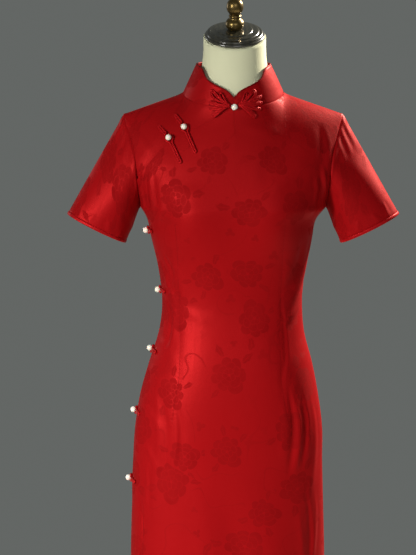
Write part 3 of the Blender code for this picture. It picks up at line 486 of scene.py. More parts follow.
def panelNormals(side, grid):
    ways = np.stack([
        grid[..., 0], side * 0.05 + grid[..., 1],
        0.25 * np.maximum(0, grid[..., 2] - dress["underarm"])], 2)
    normals = facing(normalsOf(grid), ways)
    high = grid[..., 2] > dress["tipHeight"]
    normals[..., 2] = np.where(high, np.maximum(normals[..., 2], 0), normals[..., 2])
    normals[..., 1] = np.where(np.abs(grid[..., 1]) < 0.3 * mm, 0, normals[..., 1])
    return unit(normals)


def foldRise(side, across, z):
    total = 0.0
    for foldSide, place, height, wide, high, lean, rise in zip(*folds.values()):
        if foldSide == side:
            sideways = across - place - lean * (z - height)
            total += rise * mm * bell(z - height, high) * bell(sideways, wide)
    return total * (1 - across**8)


creaseKinds = dict(  # how far each bows, runs on and fades in, and how wide it starts and grows
    panel=dict(bow=0.06, past=0.18, fade=0.40, first=0.75, growth=0.5),
    sleeve=dict(bow=0.0, past=0.12, fade=0.35, first=0.7, growth=0.7),
)


def creaseRise(flat, start, end, wide, rise, kind):  # one soft ridge or trough, with a fainter one beside it
    kind = creaseKinds[kind]
    length = max(np.linalg.norm(end - start), 1e-6)
    way = (end - start) / length
    off = flat - start
    along = (off @ way) / length
    held = smoothStep((along + kind["past"]) / kind["fade"])
    held *= smoothStep((1 + kind["past"] - along) / kind["fade"])
    along = np.clip(along, 0, 1)
    across = off @ np.array([-way[1], way[0]]) - kind["bow"] * length * np.sin(math.pi * along)
    size = wide * (kind["first"] + kind["growth"] * along)
    return rise * held * (bell(across, size) - 0.45 * bell(across - 1.9 * size, 1.2 * size))


def panelCreases(grid, flat, creases):  # creases between points that are named by x and z
    def flatPlace(x, z):
        gap = (grid[..., 0] - x) ** 2 + (grid[..., 2] - z) ** 2
        return flat[np.unravel_index(np.argmin(gap), gap.shape)]

    return sum(creaseRise(flat, flatPlace(x0, z0), flatPlace(x1, z1), wide, rise, "panel")
               for x0, z0, x1, z1, wide, rise in np.array(creases) * mm)


print("surface functions ready")


# Shaders: Wire holds a socket and adds Math nodes to it, Shade makes every other node

class Wire:
    def __init__(self, shade, socket):
        self.shade = shade
        self.socket = socket

    def maths(self, operation, *others, clamp=False):
        sockets = dict(enumerate((self,) + others))
        return self.shade.node("Math", dict(operation=operation, use_clamp=clamp), sockets)

    def other(self, name):  # another output of the same node
        return Wire(self.shade, self.socket.node.outputs[name])

    def __add__(self, value):
        return self.maths("ADD", value)

    def __sub__(self, value):
        return self.maths("SUBTRACT", value)

    def __rsub__(self, value):
        return self.shade.node("Math", dict(operation="SUBTRACT"), {0: value, 1: self})

    def __mul__(self, value):
        return self.maths("MULTIPLY", value)

    def __truediv__(self, value):
        return self.maths("DIVIDE", value)

    def __pow__(self, value):
        return self.maths("POWER", value)

    __radd__ = __add__
    __rmul__ = __mul__

    def sine(self):
        return self.maths("SINE")

    def wave(self):  # a sine from 0 to 1
        return self.sine() * 0.5 + 0.5

    def cosine(self):
        return self.maths("COSINE")

    def size(self):
        return self.maths("ABSOLUTE")

    def most(self, value):
        return self.maths("MAXIMUM", value)

    def filled(self, soft):  # 0 outside, 1 inside, from a distance that is positive inside
        return self.maths("DIVIDE", soft, clamp=True)


class Shade:
    def __init__(self, name, **constants):
        self.material = bpy.data.materials.new(name)
        self.material.use_nodes = True
        self.tree = self.material.node_tree
        self.skin = self.tree.nodes["Principled BSDF"]
        self.paint(**constants)

    def node(self, kind, settings=(), sockets=(), output=0):
        made = self.tree.nodes.new("ShaderNode" + kind)
        for key, value in dict(settings).items():
            setattr(made, key, value)
        for key, value in dict(sockets).items():
            self.feed(made.inputs[key], value)
        return Wire(self, made.outputs[output])

    def feed(self, socket, value):
        if isinstance(value, Wire):
            self.tree.links.new(value.socket, socket)
        else:
            socket.default_value = value

    def read(self, name, output="Vector"):
        return self.node("Attribute", dict(attribute_name=name), {}, output)

    def spot(self):
        return self.node("TexCoord", {}, {}, "Object")

    def split(self, vector):
        x = self.node("SeparateXYZ", {}, {0: vector})
        return x, x.other("Y"), x.other("Z")

    def vector(self, operation, a, b):
        return self.node("VectorMath", dict(operation=operation), {0: a, 1: b})

    def scaled(self, vector, size):
        return self.node("VectorMath", dict(operation="SCALE"), {0: vector, "Scale": size})

    def noise(self, vector, scale, detail=2.0, output="Fac"):
        return self.node("TexNoise", {}, {"Vector": vector, "Scale": scale, "Detail": detail}, output)

    def streaks(self, vector, paces, detail=2.0):  # a noise with its own pace along each axis
        return self.noise(self.vector("MULTIPLY", vector, paces), 1.0, detail)

    def cells(self, vector, gap, randomness):  # a spot's place in its scattered cell, and the cell's chances
        sockets = {"Vector": vector, "Scale": 1 / gap, "Randomness": randomness}
        middle = self.node("TexVoronoi", dict(voronoi_dimensions="2D"), sockets, "Position")
        x, y, _ = self.split(self.vector("SUBTRACT", vector, middle))
        return x, y, self.node("SeparateColor", {}, {0: middle.other("Color")})

    def mix(self, factor, a, b, how="MIX"):
        settings = dict(data_type="RGBA", blend_type=how, clamp_factor=True)
        return self.node("Mix", settings, {0: factor, 6: a, 7: b}, 2)

    def bump(self, height, distance, strength=1.0):
        return self.node("Bump", {}, {"Height": height, "Distance": distance, "Strength": strength})

    def paint(self, **wires):
        for key, value in wires.items():
            self.feed(self.skin.inputs[key.replace("_", " ")], value)
        return self.material


def rgb(red, green, blue, size=1.0):
    return (red * size, green * size, blue * size, 1.0)


def toned(colour, size):
    return rgb(*colour[:3], size)


damask = dict(
    ground=rgb(0.310, 0.0036, 0.0052), figure=rgb(0.238, 0.0026, 0.0038), stitch=rgb(0.120, 0.0015, 0.0022),
    # rim: the petals' woven outlines, painted a lighter red as a painted highlight of their sheen
    deep=rgb(0.262, 0.0030, 0.0043), rim=rgb(0.345, 0.0060, 0.0080), groundRough=0.46, figureRough=0.74,
    bloomGap=0.104, bloomSize=0.0255, bloomSpread=0.0085, bloomScatter=0.66, wobble=0.0075,
    sprigGap=0.058, sprigSize=0.0060, sprigSpread=0.0050, sprigScatter=0.9, sprigShift=(0.37, 0.21, 0.0),
    line=0.00055, soft=0.0011, relief=0.14 * mm,
)
bloomRings = ((5, 0.6, 0.36), (6, 2.0, 0.68), (7, 0.0, 1.0))  # petals, turn, share of the bloom's size
leafTurn = 2 * math.pi / 5


def petalRing(radius, angle, size, count, phase, reach):
    # A scalloped ring of petals: the distance inside it, and that from the gap between two petals.
    wave = (angle * (count / 2) + phase).cosine().size()
    edge = size * reach * (0.74 + 0.26 * wave**0.55)
    return edge - radius, radius * wave * (2.0 / count)


def bloomHead(radius, angle, size, chance):  # rings of petals round a heart: the figure and its outlines
    soft, line = damask["soft"], damask["line"]
    lines, within, innerEdge = None, None, None
    for count, phase, reach in bloomRings:
        inside, gap = petalRing(radius, angle, size, count, phase + chance * 3.0, reach)
        split = 1 - (gap - 0.0002).filled(line)
        edge = 1 - (inside.size() - 0.0002).filled(line)
        if within is None:
            lines = split * inside.filled(soft)
        else:
            lines = lines.most(split * inside.filled(soft) * (1 - within)).most(innerEdge)
        within, innerEdge = inside.filled(soft), edge
    heart = (size * 0.10 - radius).filled(soft)
    return within * (1 - 0.62 * lines) * (1 - 0.8 * heart), innerEdge.most(lines * 0.8)


def leaves(radius, angle, size, chance):  # some of the five round each bloom
    turn = angle / leafTurn
    fold = (turn.maths("FRACT") - 0.5) * leafTurn
    kept = ((turn.maths("FLOOR") * 2.4 + chance * 9.0).sine() + 0.25).filled(0.15)
    along = radius * fold.cosine() - size * 1.40
    across = (radius * fold.sine() + along * along * 12.0).size()
    share = along / (size * 0.42)
    notch = (along * 620.0).sine() * 0.0006
    edge = size * 0.21 * (1 - share * share) - across + notch
    rib = 1 - (across - 0.0003).filled(0.0006)
    return edge.filled(damask["soft"]) * kept * (1 - 0.6 * rib)


def sprigs(shade, place, away):  # small three-petalled flowers between the blooms
    x, y, luck = shade.cells(shade.vector("ADD", place, damask["sprigShift"]), damask["sprigGap"],
                             damask["sprigScatter"])
    angle = y.maths("ARCTAN2", x) + luck * (2 * math.pi)
    size = damask["sprigSize"] + damask["sprigSpread"] * luck.other("Green")
    edge = size * (0.40 + 0.60 * (angle * 1.5).cosine().size())
    figure = (edge - (x * x + y * y) ** 0.5).filled(damask["soft"]) * away.filled(0.004)
    return figure * (luck.other("Blue") - 0.30).filled(0.2) * 0.8


def bloomFigure(shade, spot):  # woven blooms, leaves and tendrils: 0 ground, 1 figure; and their outlines
    drift = shade.vector("SUBTRACT", shade.noise(spot, 34.0, 2.0, "Color"), (0.5, 0.5, 0.5))
    place = shade.vector("ADD", spot, shade.scaled(drift, damask["wobble"]))
    x, y, chance = shade.cells(place, damask["bloomGap"], damask["bloomScatter"])
    angle = y.maths("ARCTAN2", x) + chance * (2 * math.pi)
    uneven = 1 + 0.10 * (angle * 2.0).sine() + 0.07 * (angle * 3.0 + 1.0).sine()
    radius = (x * x + y * y) ** 0.5 * uneven
    angle += 0.24 * (angle + chance.other("Blue") * 19.0).sine()
    size = damask["bloomSize"] + chance.other("Green") * damask["bloomSpread"]
    bloom, rim = bloomHead(radius, angle, size, chance)
    wander = (shade.noise(spot, 9.0, 1.0) - 0.5).size()
    vine = (1 - (wander - 0.0022).filled(0.0050)) * (radius - size * 1.15).filled(0.006) * 0.55
    figure = bloom.most(leaves(radius, angle, size, chance) * 0.9).most(vine)
    return figure.most(sprigs(shade, place, radius - size * 1.35)), rim


def damaskShade():  # silk satin with the figure woven in, and the sewn lines
    shade = Shade("redDamask", Metallic=0.18, Roughness=0.5, IOR=1.15, Specular_IOR_Level=0.5,
                  Sheen_Weight=0.01, Sheen_Roughness=0.35, Sheen_Tint=rgb(1.0, 0.10, 0.09),
                  Specular_Tint=rgb(1.0, 0.55, 0.50))
    spot = shade.read("weave")
    x, y, _ = shade.split(spot)
    figure, rim = bloomFigure(shade, spot)
    cloud = shade.noise(spot, 6.0, 3.0)
    worn = shade.noise(spot, 26.0, 2.0)  # the figure takes the light unevenly, and nearly goes in places
    figure *= 0.30 + 0.95 * worn
    slub = shade.streaks(spot, (240.0, 14.0, 0.0))
    seam = shade.read("seam", "Fac").size()
    line = (1 - (seam - 0.0003).filled(0.0009)) * (worn * 2.0 - 0.45).maths("MINIMUM", 1.0).most(0.1)
    near = 1 - seam.filled(0.010)
    colour = shade.mix(figure, damask["ground"], damask["figure"])
    # the petals' outlines are woven lines, painted lighter here as a painted highlight of their sheen
    colour = shade.mix(rim * worn * 0.30, colour, damask["rim"])
    colour = shade.mix((cloud - 0.40).filled(0.35) * 0.45, colour, damask["deep"])
    colour = shade.mix(line * 0.38, colour, damask["stitch"])
    rough = damask["groundRough"] + (damask["figureRough"] - damask["groundRough"]) * figure
    rough = rough + (slub - 0.5) * 0.10 - rim * 0.06
    threads = (x * 15000.0).sine() * 0.5 + shade.streaks(spot, (5200.0, 1300.0, 0.0), 1.0)
    crumple = shade.noise(spot, 55.0, 3.0) + shade.noise(spot, 210.0, 2.0) * 0.30
    pucker = (y * 785.0 + shade.noise(spot, 40.0) * 9.0).sine() * near * near
    height = figure * 0.20 + rim * 0.14 + threads * 0.05 + slub * 0.08
    height = height + crumple * 2.1 + pucker * 0.5 - line * 0.8
    return shade.paint(Base_Color=colour, Roughness=rough, Normal=shade.bump(height, damask["relief"]))


def cordShade(name, colour, rough):  # bias strips rolled into cord
    shade = Shade(name, Metallic=0.25, IOR=1.22, Specular_IOR_Level=0.5, Sheen_Weight=0.015,
                  Sheen_Roughness=0.4, Sheen_Tint=rgb(1.0, 0.15, 0.13), Specular_Tint=rgb(1.0, 0.45, 0.40))
    spot = shade.read("weave")
    x, y, _ = shade.split(spot)
    twill = ((x + y) * 9000.0).wave()
    wrinkleAndShade = shade.streaks(spot, (220.0, 620.0, 0.0))
    # the colour darkens along the wrinkle streaks: painted shade in the cord's wrinkles; the same noise sets
    # the real roughness and bump
    return shade.paint(
        Base_Color=shade.mix(wrinkleAndShade, colour, toned(colour, 0.66)), Roughness=rough - 0.07 + wrinkleAndShade * 0.14,
        Normal=shade.bump(wrinkleAndShade + twill * 0.22, 0.22 * mm, 0.9))


def pearlShade():  # warm nacre: a soft glow, one small highlight, and a rim painted darker: painted shade that follows the view
    shade = Shade("pearl", Specular_IOR_Level=0.5, Coat_Weight=0.55, Coat_Roughness=0.05,
                  Subsurface_Weight=0.15, Subsurface_Scale=0.002)
    cloud = shade.noise(shade.spot(), 130.0)
    # painted shade: Layer Weight darkens the colour where the pearl turns away from the view
    rim = shade.node("LayerWeight", {}, {"Blend": 0.30}, "Facing")
    colour = shade.mix(cloud, rgb(0.93, 0.87, 0.75), rgb(0.88, 0.82, 0.71))
    colour = shade.mix(rim * 0.7, colour, rgb(0.74, 0.66, 0.56))
    return shade.paint(Base_Color=colour, Roughness=0.16 + cloud * 0.08)


def formShade():  # fine cream jersey, stretched over the form
    shade = Shade("formCloth", Specular_IOR_Level=0.2, Sheen_Weight=0.06, Sheen_Roughness=0.5)
    spot = shade.spot()
    x, y, z = shade.split(spot)
    wales = ((x * 0.8 + y * 0.6) * 5200.0).wave()
    courses = (z * 4400.0).wave()
    fuzz = shade.noise(spot, 900.0)
    colour = shade.mix(shade.noise(spot, 16.0, 3.0), rgb(0.690, 0.690, 0.465), rgb(0.625, 0.625, 0.410))
    colour = shade.mix(fuzz * 0.25, colour, rgb(0.74, 0.74, 0.54))
    return shade.paint(
        Base_Color=colour, Roughness=0.76 + fuzz * 0.14,
        Normal=shade.bump(wales * courses * 0.6 + fuzz * 0.5, 0.12 * mm, 0.8))


def woodShade(name, dark, light, rough, coat):  # turned and lacquered; the grain runs across the piece
    shade = Shade(name, Coat_Weight=coat, Coat_Roughness=0.08, Specular_IOR_Level=0.5)
    spot = shade.spot()
    x, _, _ = shade.split(spot)
    rings = ((x + shade.noise(spot, 14.0, 3.0) * 0.03) * 700.0).wave()
    pores = shade.streaks(spot, (900.0, 60.0, 900.0))
    edge = (shade.node("NewGeometry", {}, {}, "Pointiness") - 0.53).filled(0.05)
    colour = shade.mix(rings * 0.7 + pores * 0.3, dark, light)
    return shade.paint(
        Base_Color=shade.mix(edge * 0.35, colour, toned(light, 2.2)), Roughness=rough - 0.03 + pores * 0.12,
        Normal=shade.bump(pores, 0.05 * mm, 0.5))


def metalShade(name, colour, rough, metal, grain):
    shade = Shade(name, Metallic=metal)
    spot = shade.spot()
    smear = shade.streaks(spot, grain, 3.0)
    tone = shade.mix(shade.noise(spot, 35.0, 3.0) * 0.6, colour, toned(colour, 0.62))
    return shade.paint(
        Base_Color=tone, Roughness=rough - 0.06 + smear * 0.14,
        Normal=shade.bump(smear, 0.03 * mm, 0.4))


def floorShade():
    shade = Shade("paleFloor", Roughness=0.8)
    cloud = shade.noise(shade.spot(), 1.5, 4.0)
    return shade.paint(Base_Color=shade.mix(cloud, rgb(0.66, 0.65, 0.62), rgb(0.62, 0.61, 0.585)))


cloth = damaskShade()
# the cords are the dress's own red, painted lighter: a painted highlight of the satin cord
cordClothLit = cordShade("redCordLit", rgb(0.47, 0.0065, 0.0095), 0.42)
# the piping is the dress's own red, painted darker: painted shade along the corded edge
pipingClothShaded = cordShade("redPipingShaded", rgb(0.215, 0.0030, 0.0044), 0.5)
# the bound edges are the dress's own red, painted lighter: a painted highlight along the roll
bandClothLit = cordShade("bandClothLit", rgb(0.41, 0.0056, 0.0082), 0.40)
pearlSkin = pearlShade()
formCloth = formShade()
capWood = woodShade("capWood", rgb(0.014, 0.014, 0.009), rgb(0.034, 0.031, 0.019), 0.26, 0.9)
baseWood = woodShade("baseWood", rgb(0.016, 0.009, 0.006), rgb(0.048, 0.024, 0.013), 0.28, 0.5)
brassSkin = metalShade("amberBrass", rgb(0.185, 0.125, 0.042), 0.30, 0.9, (60.0, 60.0, 900.0))
poleSkin = metalShade("blackMetal", rgb(0.030, 0.030, 0.032), 0.36, 0.7, (300.0, 300.0, 12.0))
print("materials ready")


def settle(piece, skin, slot, *nodes):  # finish, body and the solids that the piece stands for; slot is not used
    piece.data.materials.append(skin)
    if nodes:
        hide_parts(*nodes)
    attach(piece, "root")
    return piece


# The dress's panels

darts = dict(
    z=(0.800, 0.822, 0.857, 0.900, 1.000, 1.120, 1.172),
    half=(0.103, 0.100, 0.094, 0.088, 0.0865, 0.0905, 0.0945), middle=-0.006, low=0.818, high=1.165)
backDarts = dict(
    z=(0.800, 0.900, 1.000, 1.100, 1.200),
    half=(0.078, 0.072, 0.066, 0.072, 0.080), middle=0.0, low=0.835, high=1.150)
frontCreases = (  # x and z of both ends, half width and rise, in mm
    # from the left bust down to the waist, and round the left hip
    (137, 1135, 98, 1028, 10, 2.6),
    (119, 1125, 89, 1035, 11, -2),
    (127, 1068, 92, 995, 7.5, 1.3),
    (82, 1020, 84, 890, 3.4, -1),
    (96, 872, 97.5, 736, 4.5, -1.9),
    (119, 860, 118, 748, 4.5, -1.7),
    (109, 850, 108.5, 735, 5.5, 1.7),
    (86, 850, 85, 760, 7, 1),
    (136, 850, 133, 690, 7, 1.3),
    (127.5, 685, 121, 470, 5, -2),
    (140.5, 680, 136, 560, 4.5, 1.3),
    (113, 660, 106, 440, 8, 1.3),
    # the right dart's end, and the lap's folded line above the slit
    (-107.4, 866, -103.5, 745, 4, 1.1),
    (-99, 850, -95, 740, 9, -0.6),
    (-133, 870, -137, 690, 7.5, 0.9),
    (-120, 850, -123.5, 720, 7, -0.8),
    (-160.5, 668, -165.5, 560, 2.2, -2),
    (-151.7, 735, -154, 660, 3.2, 1.2),
    # under the arms
    (-154.5, 1250, -150, 1172, 4.2, 2.1),
    (-147.5, 1244, -144, 1176, 3.4, -1.5),
    (-140.5, 1240, -137, 1182, 4.6, 1.6),
    (-129, 1225, -127, 1165, 7, 0.9),
    (155, 1250, 150, 1176, 4.4, 1.8),
    (147, 1245, 142, 1180, 4, -1.4),
    (139.5, 1238, 134, 1178, 5.5, 1.3),
    (148, 1320, 137, 1225, 9, -1.4),
    # puckers between the side buttons
    (-126.5, 1094, -112, 1050, 4.2, 1.5),
    (-118.5, 1104, -104, 1070, 3.8, -1.9),
    (-104, 1070, -113.5, 1040, 3.6, -1.7),
    (-97, 1090, -95, 1050, 6, 1.2),
    (-116, 1052, -99, 1020, 4.5, 1.4),
    (-113, 1020, -106, 1000, 3.6, -1.8),
    (-106.5, 1000, -116.5, 948, 4.4, -1.8),
    (-121, 1000, -120, 965, 5, 1.3),
    (-131, 955, -104, 935, 5, 1.2),
    (-149, 908, -120, 882, 6, 1.1),
    (-153, 842, -128, 800, 6, 1.2),
    (-156, 780, -135, 735, 6, 1),
    # waist, chest and skirt
    (115, 1018, 76, 988, 6, 1.3),
    (-90, 1010, -45, 990, 7, 0.8),
    (60, 985, 15, 975, 7, 0.7),
    (-60, 690, -75, 330, 30, 2),
    (50, 660, 62, 300, 34, 2),
    (-5, 640, -10, 300, 24, -1.4),
    (-115, 540, -120, 300, 19, 1.6),
    (60, 1215, 128, 1262, 14, 1.3),
    (45, 1240, 90, 1300, 16, -0.9),
    (-60, 1215, -130, 1232, 14, 1.1),
    (20, 1325, 90, 1300, 12, 0.8),
)
backCreases = (
    (110, 1030, 50, 1000, 8, 2.1),
    (100, 995, 40, 976, 7.5, 1.8),
    (118, 1010, 70, 988, 6, -1.3),
    (-112, 1022, -45, 996, 8, 2),
    (-98, 985, -35, 968, 7, 1.6),
    (-108, 1003, -60, 982, 6, -1.2),
    (120, 1085, 70, 1050, 8, 1.4),
    (-122, 1080, -75, 1044, 8, 1.4),
    (154, 1250, 146, 1180, 5, 2),
    (142, 1240, 136, 1180, 5, -1.3),
    (-154, 1250, -146, 1180, 5, 2),
    (-142, 1240, -136, 1180, 5, -1.3),
    (125, 1265, 60, 1225, 12, 1.4),
    (-125, 1262, -62, 1220, 12, 1.4),
    (20, 1345, 110, 1315, 11, 0.9),
    (-20, 1342, -105, 1310, 11, 0.9),
    (-60, 720, -72, 360, 32, 2.3),
    (55, 700, 60, 320, 34, 2.1),
    (120, 640, 128, 330, 20, 1.6),
    (-128, 620, -130, 330, 19, -1.5),
    (0, 600, 4, 260, 30, -1.6),
    (135, 850, 128, 760, 7, 1.4),
    (-135, 850, -125, 770, 7, 1.4),
    (110, 840, 104, 750, 6, -1.3),
)


def dartDistance(grid, table):
    half = readTable(table, "z", "half", grid[..., 2])
    distance = np.abs(grid[..., 0] - table["middle"]) - half
    away = np.maximum(0, np.maximum(table["low"] - grid[..., 2], grid[..., 2] - table["high"]))
    return np.clip(np.where(distance < 0, distance - away * 2, distance + away * 2), -0.05, 0.05)


tugs = dict(  # short creases that fan out from each side button: each one's slope and strength
    fan=((0.55, 1.0), (-0.45, 0.8), (0.08, 0.7)), start=4 * mm, begin=12 * mm, full=20 * mm, end=28 * mm,
    width=3.2 * mm, dip=0.5, dipAway=6 * mm, dipWidth=4 * mm, rise=0.75 * mm,
)


def buttonPulls(grid, along, front):
    ahead = along if front else -along
    held = smoothStep((ahead - tugs["start"]) / tugs["begin"])
    held *= 1 - smoothStep((ahead - tugs["full"]) / tugs["end"])
    total = 0.0
    for i, height in enumerate(sideButtons):
        for slope, size in tugs["fan"]:
            line = grid[..., 2] - height - slope * (ahead - tugs["start"]) * (1.0 if i % 2 else 0.85)
            dip = tugs["dip"] * bell(line - tugs["dipAway"], tugs["dipWidth"])
            total += size * (bell(line, tugs["width"]) - dip)
    return tugs["rise"] * held * total


sewing = dict(  # how deep and how wide each sewn line pulls the cloth, and the turned-up hem's step
    dart=0.40 * mm, dartReach=4.5 * mm, seam=0.75 * mm, seamReach=3.5 * mm, hem=0.25 * mm, hemHeight=28 * mm,
    hemBlend=3 * mm, uneven=0.22 * mm,
)


def makePanel(name, side, creases, dartTable, node, diagonal=False):
    grid, at, columns = panelGrid(side, diagonal)
    normals = panelNormals(side, grid)
    flat = flatPlaces(grid)
    across = np.broadcast_to(columns, grid.shape[:2])
    z = grid[..., 2]
    fade = 1 - np.abs(across) ** 10
    seam = dartDistance(grid, dartTable)
    lower = np.arange(len(grid))[:, None] <= dress["levelRows"]
    lift = foldRise(side, across, z) + panelCreases(grid, flat, creases) * np.clip(fade * 1.4, 0, 1)
    lift -= sewing["dart"] * bell(seam, sewing["dartReach"])
    lift += sewing["uneven"] * unevenness(flat[..., 0] * 42, flat[..., 1] * 26, 3 + side) * fade
    pulls = buttonPulls(grid, at, side < 0)
    if side < 0:
        pulls += lapRise(at, z)
    lift += np.where(lower, pulls, 0)
    leftEdge = flat[:, -1:, 0] - flat[..., 0]  # the plain side seam draws in along its stitches
    sewn = smoothStep((z - dress["slitTop"]) / 0.02) * lower
    lift -= sewing["seam"] * bell(leftEdge, sewing["seamReach"]) * sewn
    lift += sewing["hem"] * smoothStep((sewing["hemHeight"] - flat[..., 1]) / sewing["hemBlend"])
    lift = np.maximum(lift, (1.6 * across**6 - 2.4) * mm)  # it stays clear of the form
    piece = clothShell(name, grid + normals * lift[..., None], normals, dress["thick"], flat)
    addSeam(piece, np.tile(seam.reshape(-1), 2))
    return settle(piece, cloth, "damask", node)


frontPanel = makePanel("frontPanel", -1, frontCreases, darts, "dress_front", diagonal=True)
backPanel = makePanel("backPanel", 1, backCreases, backDarts, "dress_back")
print("front and back ready")


# The small right front

underlap = dict(
    drop=0.012, step=1.5 * mm, fade=0.030, rows=64, flatHeight=1.08, uneven=0.20 * mm,
    tug=0.8 * mm, tugPlace=(-0.150, 1.29), tugSlope=(0.6, 0.5), tugWidth=6 * mm,
)


def makeUnderlap():  # the small right front, whose lower edge lies under the diagonal one
    half = dress["halfColumns"]
    share = np.arange(half + 1) / half
    top = topEdge(-1, share - 1)
    low = placketEdge(share) - np.array([0, underlap["drop"]])
    armLow = low[0, 1]
    low[0] = (-readTable(armhole, "z", "x", armLow), armLow)
    arms = [(0, -1, 1 - share, armLow, dress["tipHeight"])]
    grid = np.array([patchRow(-1, low, top, rise, arms) for rise in patchRises(underlap["rows"])])
    normals = panelNormals(-1, grid)
    flat = flatPlaces(grid, half)
    above = grid[..., 2] - readTable(placket, "x", "z", grid[..., 0])
    sunk = -underlap["step"] * (1 - smoothStep(above / underlap["fade"]))
    soft = underlap["uneven"] * unevenness(flat[..., 0] * 50, flat[..., 1] * 40, 12)
    tug = underlap["tug"] * bell((grid[..., ::2] - underlap["tugPlace"]) @ underlap["tugSlope"],
                                 underlap["tugWidth"])
    outer = grid + normals * (sunk + soft + tug * smoothStep(above / underlap["fade"]))[..., None]
    flat[..., 1] += underlap["flatHeight"]
    piece = clothShell("smallFront", outer, normals, dress["thick"], flat)
    addSeam(piece, [])
    return settle(piece, cloth, "damask", "dress_underlap")


smallFront = makeUnderlap()


# Sleeves and their bound edges

sleeve = dict(
    cuffOuter=(0.2880, 1.1710), cuffInner=(0.1875, 1.1204), halfDepth=0.040, cuffY=-0.006,
    band=6.0 * mm, bandThick=3.1 * mm, bandSteps=10, gap=0.10 * mm, halfGirth=0.135, rows=72, halfTurns=72,
    flatX=0.9, uneven=0.30 * mm,
    head=0.75 * mm, headDown=6 * mm, headWidth=4.5 * mm,  # the roll beside the armhole's seam
    seam=0.9 * mm, seamWidth=1.6 * mm,
    gather=0.26 * mm, gatherGap=6.2 * mm, gatherDown=7 * mm, gatherTurn=0.6,
    calm=0.40, calmFrom=0.93, groove=0.45 * mm, grooveWidth=2.2 * mm,  # towards the cuff
)
sleeveCreases = (  # share round from the top by the front and share down, at both ends; mm wide and high
    (0.86, 0.02, 0.92, 0.8, 7.5, 1.5),
    (0.93, 0, 1.02, 0.7, 6.5, 1.2),
    (0.76, 0.06, 0.82, 0.55, 8, 0.9),
    (0.62, 0.02, 0.7, 0.34, 8.5, -0.8),
    (0.3, 0.3, 0.16, 0.92, 16, 0.9),
    (1.12, 0.03, 1.07, 0.75, 7.5, 1.3),
    (1.22, 0.05, 1.15, 0.6, 8.5, 1),
    (1.42, 0.02, 1.33, 0.42, 9, -0.9),
    (1.7, 0.25, 1.82, 0.9, 16, 0.9),
    # at the sleeve's head, and small puckers by the bound edge
    (0.06, 0.02, 0.1, 0.3, 5, 1),
    (0.15, 0.02, 0.22, 0.26, 4.5, 0.9),
    (0.26, 0.02, 0.34, 0.22, 5, 0.7),
    (0.22, 0.84, 0.27, 1, 3.4, 0.8),
    (0.41, 0.86, 0.38, 1, 3.2, 0.7),
    (0.58, 0.82, 0.63, 1, 3.6, 0.9),
    (0.77, 0.86, 0.74, 1, 3, 0.7),
    (1.3, 0.84, 1.35, 1, 3.4, 0.8),
    (1.66, 0.85, 1.61, 1, 3.4, 0.8),
)


def armholeHalf(side):
    rise = patchRises(sleeve["halfTurns"])[::-1]
    z = dress["underarm"] + (dress["tipHeight"] - dress["underarm"]) * rise
    x = readTable(armhole, "z", "x", z)
    return np.stack([x, yokeY(side, x, z), z], 1)


def sleeveLoops(mirror):  # the armhole's loop and the cuff's, both from the top round by the front
    front, back = armholeHalf(-1), armholeHalf(1)
    loop = np.concatenate([front, back[-2:0:-1]])
    lengths = lengthsAlong(front)
    turns = lengths / lengths[-1] * math.pi
    turns = np.concatenate([turns, 2 * math.pi - turns[-2:0:-1]])
    outer, inner = (np.array([x, sleeve["cuffY"], z]) for x, z in (sleeve["cuffOuter"], sleeve["cuffInner"]))
    cuff = (outer + inner) / 2 + np.outer(np.cos(turns), (outer - inner) / 2)
    cuff[:, 1] -= sleeve["halfDepth"] * np.sin(turns)
    loop[:, 0] += sleeve["gap"]
    flip = np.array([mirror, 1, 1])
    return loop * flip, cuff * flip, turns / math.pi


def sleeveRise(around, below, length, height, seed):  # creases, gathers at the head, the cuff's groove
    girth = sleeve["halfGirth"]
    flat = np.stack([around * girth, below * length], 2)
    scale = np.array([girth, length])
    lift = sum(creaseRise(flat, (a0, d0) * scale, (a1, d1) * scale, wide * mm, rise * mm, "sleeve")
               for a0, d0, a1, d1, wide, rise in sleeveCreases)
    down = flat[..., 1]
    lift += sleeve["head"] * bell(down - sleeve["headDown"], sleeve["headWidth"])
    lift -= sleeve["seam"] * bell(down, sleeve["seamWidth"])
    gathers = np.sin(flat[..., 0] / sleeve["gatherGap"]) * (around < sleeve["gatherTurn"])
    gathers *= bell(down - sleeve["gatherDown"], sleeve["gatherDown"])
    lift += sleeve["gather"] * gathers
    lift += sleeve["uneven"] * unevenness(np.cos(math.pi * around) * 2.2, height * 24, seed)
    lift *= 1 - sleeve["calm"] * smoothStep((below - sleeve["calmFrom"]) / (1 - sleeve["calmFrom"]))
    return lift - sleeve["groove"] * bell((1 - below) * length, sleeve["grooveWidth"])


def makeBand(name, cuff, ways, out, node):  # the bound edge: a soft roll round the cuff
    turn = fullTurn(sleeve["bandSteps"])
    wave, over = (np.sign(part) * np.abs(part) ** 0.6 for part in (np.cos(turn), np.sin(turn)))
    number = np.arange(len(cuff))
    thick = sleeve["bandThick"] / 2 * (1 + 0.05 * np.sin(number * 1.9) * np.sin(number * 0.37))
    half = sleeve["band"] / 2
    base = cuff - ways * half - out * (dress["thick"] / 2)
    rings = base[:, None] + half * wave[None, :, None] * ways[:, None]
    rings += thick[:, None, None] * over[None, :, None] * out[:, None]
    parts = tubeParts(rings, turn * 2 * mm, lengthsAlong(cuff), closed=True)
    return settle(joinParts(name, [parts], 80), bandClothLit, "damask", node)


